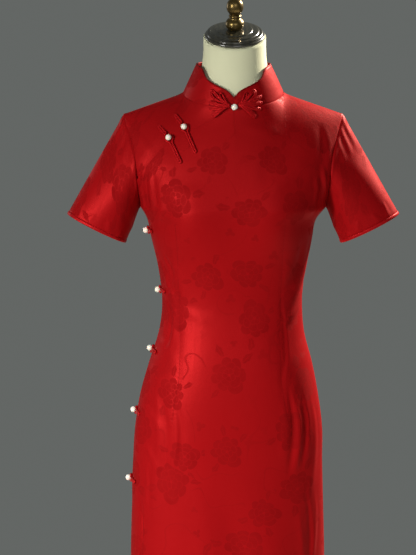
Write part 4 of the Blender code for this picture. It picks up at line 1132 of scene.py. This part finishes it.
def makeSleeve(name, mirror, seed, nodes):
    loop, cuff, turns = sleeveLoops(mirror)
    ways = unit(cuff - loop)
    edge = cuff - ways * (sleeve["band"] - 0.8 * mm)
    down = np.linspace(0, 1, sleeve["rows"] + 1) ** 0.92
    grid = loop[None] + (edge - loop)[None] * down[:, None, None]
    normals = facing(normalsOf(grid, wrap=True), grid - grid.mean(1, keepdims=True))
    flatter = normals[0] * (0, 1, 1)  # at the armhole the wall stays in the seam's plane
    size = np.linalg.norm(flatter, axis=1, keepdims=True)
    normals[0] = np.where(size > 0.05, unit(flatter), normals[0])
    flat = flatPlaces(grid, wrap=True)
    around, below = np.broadcast_arrays(turns, down[:, None])
    length = np.linalg.norm(edge - loop, axis=1).mean()
    lift = sleeveRise(around, below, length, flat[..., 1], seed)
    flat[..., 0] += sleeve["flatX"] * mirror
    outer = grid + normals * lift[..., None]
    piece = clothShell(name, outer, normals, dress["thick"], flat * (1, -1), wrap=True)
    addSeam(piece, [])
    band = makeBand(name + "Band", cuff, ways, normals[-1], nodes[1])
    return settle(piece, cloth, "damask", nodes[0]), band


rightSleeve, rightBand = makeSleeve("rightSleeve", -1, 21, ("sleeve_right", "sleeve_band_right"))
leftSleeve, leftBand = makeSleeve("leftSleeve", 1, 22, ("sleeve_left", "sleeve_band_left"))
print("sleeves ready")


# Stand collar and its corded edge

collar = dict(
    thick=1.8 * mm, fullHeight=0.050, topHalfWidth=0.0630, topHalfDepth=0.0590, topY=-0.0130,
    gap=0.3 * mm, tuck=0.9 * mm, piping=1.3 * mm, pipingSides=12, steps=280, rows=18, flatX=2.3,
    uneven=0.22 * mm, seam=0.35 * mm, seamWidth=1.6 * mm, line=0.25 * mm, lineDown=3.5 * mm,
    lineWidth=1.2 * mm,
)
collarHeights = dict(angle=(0.0, 8.0, 18.0, 44.0, 62.0, 90.0, 120.0, 180.0),
                     height=(0.0143, 0.0250, 0.0308, 0.0400, 0.0510, 0.0475, 0.0430, 0.0430))


def collarPoint(angle, height):
    angle, height = np.asarray(angle, float), np.asarray(height, float)
    depth = np.where(np.cos(angle) > 0, neckDepth[-1], neckDepth[1])
    base = np.stack([dress["neckHalf"] * np.sin(angle), -depth * np.cos(angle), neckHeight(angle)], -1)
    top = np.stack([
        collar["topHalfWidth"] * np.sin(angle),
        collar["topY"] - collar["topHalfDepth"] * np.cos(angle),
        base[..., 2] + collar["fullHeight"]], -1)
    return base + (top - base) * (height / collar["fullHeight"])[..., None]


def makeCollar():
    along = 2 * np.arange(collar["steps"] + 1) / collar["steps"] - 1
    bent = along * (1 + 0.35 * (1 - along * along))
    angles = math.pi + bent * (math.pi - collar["gap"] / dress["neckHalf"])
    degrees = np.degrees(angles)
    heights = readTable(collarHeights, "angle", "height", np.minimum(degrees, 360 - degrees))
    share = np.linspace(0, 1, collar["rows"] + 1)[:, None]
    low = -collar["tuck"]
    grid = collarPoint(np.broadcast_to(angles, (len(share), len(angles))), low + (heights - low) * share)
    ways = (grid - (0, collar["topY"], 0)) * (1, 1, 0)
    normals = facing(normalsOf(grid), ways)
    normals[:, [0, -1], 0] = 0
    normals[0, :, 2] = 0
    normals = unit(normals)
    flat = flatPlaces(grid)
    lift = collar["uneven"] * unevenness(flat[..., 0] * 60, flat[..., 1] * 60, 31)
    lift -= collar["seam"] * bell(share * heights, collar["seamWidth"])
    lift -= collar["line"] * bell((1 - share) * heights - collar["lineDown"], collar["lineWidth"])
    lift *= smoothStep(np.minimum(angles, 2 * math.pi - angles) / 0.05)
    flat[..., 0] += collar["flatX"]
    piece = clothShell("standCollar", grid + normals * lift[..., None], normals, collar["thick"], flat)
    addSeam(piece, [])
    return settle(piece, cloth, "damask", "collar"), makePiping(grid[-1], normals[-1])


def makePiping(edge, normals):  # the corded edge along the collar's top
    middle = edge - normals * collar["thick"] / 2
    way = unit(np.gradient(middle, axis=0))
    up = np.cross(normals, way)
    up = unit(np.where(up[:, 2:] < 0, -up, up))
    radius = collar["piping"] * (1 + 0.03 * np.sin(np.arange(len(middle)) * 0.9))
    turn = fullTurn(collar["pipingSides"])
    rings = ringsRound(middle + up * (collar["piping"] * 0.85), radius, normals, radius, up, turn)
    for i, front in ((0, collar["gap"]), (-1, -collar["gap"])):  # the ends are cut upright in front
        rings[i] += way[i] * ((front - rings[i, :, :1]) / way[i][0])
    parts = tubeParts(rings, turn * collar["piping"], lengthsAlong(middle))
    return settle(joinParts("collarPiping", [parts]), pipingClothShaded, "cord", "collar_piping")


standCollar, collarPiping = makeCollar()
print("collar ready")


# Fastenings

cordSize = dict(
    radius=1.75 * mm, eye=5.95 * mm, pearl=5.2 * mm, pearlHeight=6.2 * mm, sides=14,
    stitch=0.32 * mm, stitchSpan=1.5 * mm, stitchGap=5.2 * mm, coil=2.2 * mm, coilCord=1.2 * mm,
)
chestFrogs = (  # name, x, z, the loop strip's and the knot strip's headings in degrees
    ("chest_frog_1", -0.0825, 1.3225, -66.0, -51.0),
    ("chest_frog_2", -0.1091, 1.3045, -64.0, -48.0),
)


def yokeFrame(x, z):  # point and outward normal of the front above the underarm
    x, z, step = np.asarray(x, float), np.asarray(z, float), 0.5 * mm
    none, both = np.zeros_like(x), np.full_like(x, 2 * step)
    along = np.stack([both, yokeY(-1, x + step, z) - yokeY(-1, x - step, z), none], -1)
    up = np.stack([none, yokeY(-1, x, z + step) - yokeY(-1, x, z - step), both], -1)
    return np.stack([x, yokeY(-1, x, z), z], -1), unit(np.cross(along, up))


def collarFrame(x, z):  # the same on the collar's front
    x, z = np.asarray(x, float), np.asarray(z, float)
    angle = np.arcsin(x / dress["neckHalf"])
    narrowing = (collar["topHalfWidth"] - dress["neckHalf"]) / collar["fullHeight"]
    for _ in range(5):
        height = z - neckHeight(angle)
        angle = np.arcsin(x / (dress["neckHalf"] + narrowing * height))
    turn, step = math.radians(0.5), 0.5 * mm
    along = collarPoint(angle + turn, height) - collarPoint(angle - turn, height)
    up = collarPoint(angle, height + step) - collarPoint(angle, height - step)
    return collarPoint(angle, height), unit(np.cross(along, up))


def sideFrame(along, z):  # the same on the right side: along is 0 at the seam, positive to the front
    def place(distance, height):
        points = section(-1 if distance >= 0 else 1, height, 0.0)
        return resample(points, [abs(distance)])[0]

    step = 2.0 * mm
    spots, normals = [], []
    for distance, height in zip(along, z):
        around = place(distance + step, height) - place(distance - step, height)
        up = place(distance, height + step) - place(distance, height - step)
        normal = unit(np.cross(around, up))
        normal = normal if normal[0] < 0 else -normal
        lifted = float(lapRise(distance, height)) if distance > -lap["width"] - 1 * mm else 0.0
        spots.append(place(distance, height) + normal * lifted)
        normals.append(normal)
    return np.array(spots), np.array(normals)


def arc(middle, radius, start, end, count):
    turn = np.linspace(start, end, count)
    return np.stack([middle + radius * np.cos(turn), radius * np.sin(turn)], 1)


def hairpin(length, eye):  # a cord's flat route (along, across), a double strip to an eye or a plain end
    half = cordSize["radius"] * 0.97
    far = -length + half
    if eye:
        near = -math.sqrt(cordSize["eye"] ** 2 - half**2) - 2.5 * mm
        opening = math.pi - math.asin(half / cordSize["eye"]) - 0.35
        ring = arc(0.0, cordSize["eye"], -opening, opening, 30)
        cut = np.linspace(0, 1, 12)[1:]
    else:
        near = -cordSize["eye"] - 2 * cordSize["radius"] - 0.3 * mm - half
        ring = arc(near, half, -math.pi / 2, math.pi / 2, 9)
        cut = np.linspace(0, 1, 8)[1:-1]
    straight = np.stack([far + (near - far) * cut, np.full(len(cut), -half)], 1)
    bend = arc(far, half, math.pi / 2, 1.5 * math.pi, 9)
    return np.concatenate([bend, straight, ring, straight[::-1] * (1, -1)])


def stitchParts(frameAt, reach, stops, lift):  # small hand stitches on both sides of a strip
    span = np.linspace(-0.5, 0.5, 4) * cordSize["stitchSpan"]
    height = lift + np.array([0.15, 0.75, 0.75, 0.15]) * mm
    parts = []
    for stop in stops:
        for across in (-reach, reach):
            spots, normals = frameAt(stop + span, across + span * 0.9)
            parts.append(cordParts(spots + normals * height[:, None], normals, cordSize["stitch"], 5, False))
    return parts


def makePearl(name, centre, way, radius, node, shank):  # a drilled pearl bead on a small cord shank
    turn = np.linspace(0.10, math.pi - 0.035, 30)
    profile = np.stack([radius * np.sin(turn), -radius * np.cos(turn)], 1)
    dimple = np.array([[0.05, 0.94], [0.02, 0.90]]) * radius
    bead = turnedParts(np.concatenate([profile, dimple]), 40, centre, way)
    settle(joinParts(name, [bead], 75), pearlSkin, "pearl", node)
    neck = [(2.2 * mm, -shank), (2.7 * mm, -shank + 0.8 * mm), (1.8 * mm, -shank + 1.6 * mm),
            (1.7 * mm, -radius * 0.93), (2.6 * mm, -radius * 0.86), (1.4 * mm, -radius * 0.80)]
    stem = turnedParts(rounded(neck, 0.6 * mm), 20, centre, way)
    settle(joinParts(name + "Shank", [stem]), cordClothLit, "cord")


def makeFrog(name, frameAt, loopLength, knotLength, lift):
    height = lift + cordSize["radius"]
    for part, length, sign, eye in (("loop", loopLength, -1, True), ("knot", knotLength, 1, False)):
        def stripFrame(along, across, part=part, sign=sign):
            return frameAt(part, sign * along, sign * across)

        route = hairpin(length, eye)
        spots, normals = stripFrame(route[:, 0], route[:, 1])
        number = np.arange(len(route))
        radius = cordSize["radius"] * (1 + 0.035 * np.sin(number * 1.7) + 0.02 * np.sin(number * 0.6))
        parts = [cordParts(spots + normals * height, normals, radius, cordSize["sides"])]
        stops = np.arange(-length + 3 * mm, (-10 if eye else -14) * mm, cordSize["stitchGap"])
        parts += stitchParts(stripFrame, 2 * cordSize["radius"] + 0.2 * mm, stops, lift)
        if not eye:  # the knot's own small coil, where the shank is sewn down
            coil, turn = cordSize["coil"], np.linspace(0, 2 * math.pi, 20)[:-1]
            middle = route[:, 0].max() - 1.0 * mm
            spots, normals = stripFrame(middle + coil * np.cos(turn), coil * np.sin(turn))
            parts.append(cordParts(spots + normals * (height + 1.9 * mm), normals, cordSize["coilCord"]))
        settle(joinParts(f"{name}_{part}Cord", parts), cordClothLit, "cord", f"{name}_{part}")
    spot, normal = (rows[0] for rows in frameAt("loop", np.zeros(1), np.zeros(1)))
    centre = spot + normal * (cordSize["pearlHeight"] + lift)
    makePearl(f"{name}_bead", centre, normal, cordSize["pearl"], f"{name}_pearl",
              cordSize["pearlHeight"] - 0.4 * mm)


for name, x, z, loopTurn, knotTurn in chestFrogs:
    def chestFrame(part, along, across, x=x, z=z, turns=dict(loop=loopTurn, knot=knotTurn)):
        turn = math.radians(turns[part])
        return yokeFrame(x + along * math.cos(turn) - across * math.sin(turn),
                         z + along * math.sin(turn) + across * math.cos(turn))
    makeFrog(name, chestFrame, 44 * mm, 26 * mm, 0.3 * mm)

for number, height in enumerate(sideButtons, start=1):
    def buttonFrame(_part, along, across, height=height):
        return sideFrame(along, height + across)
    makeFrog(f"side_frog_{number}", buttonFrame, 34 * mm, 30 * mm, 0.6 * mm)
print("side and chest fastenings ready")


# The butterfly fastening at the collar: nested loops of cord

butterfly = dict(
    cord=1.4 * mm, steps=52, start=2.5 * mm, blend=4.0 * mm, pearlX=0.8 * mm, pearlZ=1.3575,
    pearl=5.5 * mm, pearlHeight=6.3 * mm, shank=5.9 * mm,
)
wings = (  # node, root, and each petal: its tip, half width, nested cords, sideways bow and root's lift in mm
    ("butterfly_upper_right", (-0.0105, 1.3622), (
        (-0.0225, 1.3826, 0.0042, 1, 1.0, 2.4), (-0.0392, 1.3868, 0.0068, 2, 3.0, 1.4))),
    ("butterfly_lower_right", (-0.0100, 1.3598), (
        (-0.0424, 1.3662, 0.0042, 2, 1.0, 2.6), (-0.0418, 1.3540, 0.0042, 2, 0.0, 1.2),
        (-0.0366, 1.3412, 0.0048, 2, -1.2, 2.4))),
    ("butterfly_upper_left", (0.0112, 1.3622), (
        (0.0200, 1.3838, 0.0040, 1, -1.0, 2.4), (0.0355, 1.3872, 0.0070, 2, -3.0, 1.4),
        (0.0462, 1.3765, 0.0046, 2, -1.2, 2.8))),
    ("butterfly_lower_left", (0.0112, 1.3598), (
        (0.0478, 1.3655, 0.0042, 2, 0.0, 1.4), (0.0452, 1.3535, 0.0042, 2, 0.6, 2.6),
        (0.0366, 1.3402, 0.0050, 2, 1.4, 1.4))),
)


def frontFrame(x, z):  # the collar's front above its seam and the yoke below, blended where they meet
    x, z = np.asarray(x, float), np.asarray(z, float)
    base = neckHeight(np.arcsin(np.clip(x / dress["neckHalf"], -1, 1)))
    onCollar, collarNormal = collarFrame(x, z)
    onYoke, yokeNormal = yokeFrame(x, z)
    share = smoothStep((z - base) / butterfly["blend"] + 0.5)[..., None]
    return onCollar * share + onYoke * (1 - share), unit(collarNormal * share + yokeNormal * (1 - share))


def raisedCord(x, z, lift, radius, closed=False):  # a cord at a height above the front
    spots, normals = frontFrame(x, z)
    return cordParts(spots + normals * lift[:, None], normals, radius, 10, closed)


def petalCords(root, tip, wide, nests, bow, rootLift):  # one petal: nested cord loops out to the tip
    root, tip = np.array(root), np.array(tip)
    way = unit(tip - root)
    root += way * butterfly["start"]
    length = np.linalg.norm(tip - root)
    cross = np.array([-way[1], way[0]])
    turn = fullTurn(butterfly["steps"])
    along = 0.5 - 0.5 * np.cos(turn)
    cord = butterfly["cord"]
    parts = []
    for nest in range(nests):
        inset = cord + 2.1 * cord * nest
        half = max(wide - inset, 0.9 * cord)
        narrow = 0.9 * cord + (half - 0.9 * cord) * smoothStep(along / 0.85)
        spread = narrow * np.sign(np.sin(turn)) * np.abs(np.sin(turn)) ** 0.55
        reach = (length - inset) * along
        sway = bow * mm * np.sin(math.pi * reach / length)
        flat = root + np.outer(reach, way) + np.outer(spread + sway, cross)
        lift = cord + (0.3 + rootLift * (1 - along) + 0.9 * nest + 1.0 * np.sin(math.pi * along)) * mm
        size = cord * (1 + 0.03 * np.sin(np.arange(len(turn)) * 1.1 + nest + bow))
        parts.append(raisedCord(flat[:, 0], flat[:, 1], lift, size, True))
    return parts


def wingBinding(root, mirror):  # the cords from a wing to the pearl, and the turns that bind its root
    parts = []
    run, arc = np.linspace(0.0, 1.0, 9), np.linspace(-1.0, 1.0, 13)
    near, far, middle = 6.6 * mm, abs(root[0]) + 4 * mm, root[1] - 1.0 * mm
    for side in (-1, 1):
        z = middle + side * (1.2 + 1.6 * run**2) * mm
        lift = (2.6 + 1.3 * np.sin(math.pi * run)) * mm
        parts.append(raisedCord(mirror * (near + (far - near) * run), z, lift, butterfly["cord"]))
    for k in range(3):
        x = np.full(len(arc), root[0] + mirror * (k - 0.6) * 2.2 * mm)
        lift = (1.2 + 3.6 * np.sqrt(np.maximum(0, 1 - arc**2))) * mm
        parts.append(raisedCord(x, middle + arc * (4.2 - 0.3 * k) * mm, lift, butterfly["cord"]))
    return parts


def makeWing(node, root, loops):
    parts = []
    for tipX, tipZ, wide, nests, bow, rootLift in loops:
        parts += petalCords(root, (tipX, tipZ), wide, nests, bow, rootLift)
    if "upper" in node:
        parts += wingBinding(root, math.copysign(1, root[0]))
    settle(joinParts(node + "_loops", parts), cordClothLit, "cord", node)


def makeBigPearl():  # it leans halfway between the collar and the yoke
    pearlX = np.array(butterfly["pearlX"])
    spot, collarWay = collarFrame(pearlX, butterfly["pearlZ"])
    way = unit(collarWay + yokeFrame(pearlX, neckHeight(0.0))[1])
    makePearl("butterfly_bead", spot + way * butterfly["pearlHeight"], way, butterfly["pearl"],
              "butterfly_pearl", butterfly["shank"])


for wing in wings:
    makeWing(*wing)
makeBigPearl()
print("butterfly ready")


# Dress form

formFinish = dict(finer=2, weld=0.02 * mm, crease=math.radians(62), flat=math.radians(20),
                  shape=math.radians(50), sharp=45)


def smoothForm(name, node):  # a finer form of a solid: its triangles joined to quads, then subdivided
    work = bmesh.new()
    work.from_mesh(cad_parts[node].data)
    bmesh.ops.remove_doubles(work, verts=work.verts, dist=formFinish["weld"])
    bmesh.ops.join_triangles(work, faces=work.faces, angle_face_threshold=formFinish["flat"],
                             angle_shape_threshold=formFinish["shape"])
    crease = work.edges.layers.float.new("crease_edge")
    for edge in work.edges:
        if len(edge.link_faces) == 2 and edge.calc_face_angle(0) > formFinish["crease"]:
            edge[crease] = 1.0
    mesh = bpy.data.meshes.new(name)
    work.to_mesh(mesh)
    work.free()
    piece = addObject(name, mesh)
    finer = piece.modifiers.new("finer", "SUBSURF")
    finer.levels = finer.render_levels = formFinish["finer"]
    evaluated = piece.evaluated_get(bpy.context.evaluated_depsgraph_get())
    fine = bpy.data.meshes.new_from_object(evaluated)
    piece.modifiers.clear()
    piece.data = fine
    smooth(fine, formFinish["sharp"])
    return piece


formBody = settle(smoothForm("formBody", "form_body"), formCloth, "form_cloth", "form_body")
print("form ready")


# Neck cap, finial, pole and base

neck = dict(lean=math.radians(22.5), top=np.array([0.0020, -0.0140, 1.4755]), gap=0.3 * mm)
neckWay = np.array([0, -math.sin(neck["lean"]), math.cos(neck["lean"])])
neckSeat = neck["top"] + neckWay * neck["gap"]
turned = dict(  # each profile's radii and heights, and its rounded corners, in mm
    neckCap=dict(
        profile=((49.5, 0.0), (51.3, 1.6), (51.7, 3.6), (50.4, 5.6), (47.8, 6.4), (48.4, 8.0), (47.0, 9.8),
                 (42.0, 10.4), (41.0, 12.0), (31.0, 12.6), (30.0, 14.0), (18.0, 14.5)),
        corner=1.3, steps=96, place=(neckSeat, neckWay), finish=(capWood, "dark_wood", "neck_cap")),
    brassFinial=dict(
        profile=((11.0, 14.8), (15.0, 18.8), (16.3, 24.3), (14.6, 29.8), (9.5, 34.3), (8.8, 36.3),
                 (10.6, 37.6), (10.6, 39.2), (8.8, 40.4), (9.6, 42.8), (13.8, 48.8), (14.9, 55.8),
                 (12.6, 63.8), (7.0, 69.3)),
        corner=5.0, steps=72, sharp=70, place=(neckSeat, neckWay), finish=(brassSkin, "brass", "finial")),
    roundBase=dict(
        profile=((176.0, 0.0), (180.0, 3.0), (180.0, 12.0), (174.0, 18.0), (60.0, 24.0), (34.0, 27.0),
                 (26.0, 33.0), (26.0, 58.0)),
        corner=2.5, steps=128, finish=(baseWood, "dark_wood", "stand_base")),
    standPole=dict(
        profile=((15.2, 58.3), (16.0, 59.1), (16.0, 698.9), (15.2, 699.7)),
        corner=0.6, steps=64, finish=(poleSkin, "black_metal", "stand_pole")),
)
for name, piece in turned.items():
    shape = rounded(np.array(piece["profile"]) * mm, piece["corner"] * mm, 5)
    parts = turnedParts(shape, piece["steps"], *piece.get("place", ()))
    settle(joinParts(name, [parts], piece.get("sharp", 40)), *piece["finish"])
print("stand ready")


# Floor, light and camera

floor = dict(radius=1.7, steps=96)


def makeFloor():  # a pale round platform; past it is only the soft grey room
    turn = fullTurn(floor["steps"])
    rim = floor["radius"] * np.stack([np.cos(turn), np.sin(turn), 0 * turn], 1)
    faces = [(0, 1 + k, 1 + (k + 1) % len(rim)) for k in range(len(rim))]
    mesh = bpy.data.meshes.new("paleFloor")
    mesh.from_pydata([(0.0, 0.0, 0.0)] + rim.tolist(), [], faces)
    piece = addObject("paleFloor", mesh)
    piece.data.materials.append(floorShade())


lamps = dict(  # name: place, aim, size, power, spread in degrees, colour
    key=((-2.1, -2.4, 1.50), (-0.05, 0.0, 0.62), 0.8, 9.0, 46, (1.0, 0.98, 0.94)),
    fill=((0.5, -3.4, 2.0), (0.0, 0.0, 1.20), 1.8, 20.0, 180, (0.97, 0.98, 1.0)),
    sun=((1.55, 1.16, 2.48), (0.08, -0.02, 1.08), 0.22, 190.0, 180, (1.0, 0.93, 0.80)),
    rimLeft=((-1.9, 1.5, 1.7), (-0.05, 0.0, 1.1), 0.9, 5.0, 180, (0.96, 0.98, 1.0)),
)
room = dict(colour=rgb(0.84, 0.90, 0.86), strength=0.15)
view = dict(place=(-0.04375, -3.2, 1.4912), down=7.7082, lens=119.69, sensor=36.0)


def makeLights():
    for name, (place, aim, size, power, spread, colour) in lamps.items():
        lamp = bpy.data.lights.new(name, "AREA")
        lamp.shape, lamp.size, lamp.energy, lamp.color = "DISK", size, power, colour
        lamp.spread = math.radians(spread)
        holder = addObject(name, lamp)
        holder.location = place
        x, y, z = unit(np.subtract(aim, place))
        holder.rotation_euler = (math.acos(-z), 0, math.atan2(-x, y))
    world = bpy.data.worlds.new("softRoom")
    world.use_nodes = True
    background = world.node_tree.nodes["Background"]
    background.inputs["Color"].default_value = room["colour"]
    background.inputs["Strength"].default_value = room["strength"]
    scene.world = world


def makeCamera():
    lens = bpy.data.cameras.new("camera")
    lens.sensor_width, lens.lens = view["sensor"], view["lens"]
    holder = addObject("camera", lens)
    holder.location = view["place"]
    holder.rotation_euler = (math.radians(90 - view["down"]), 0, 0)
    scene.camera = holder
    scene.view_settings.view_transform = "Standard"


makeFloor()
makeLights()
makeCamera()
print("stage ready")
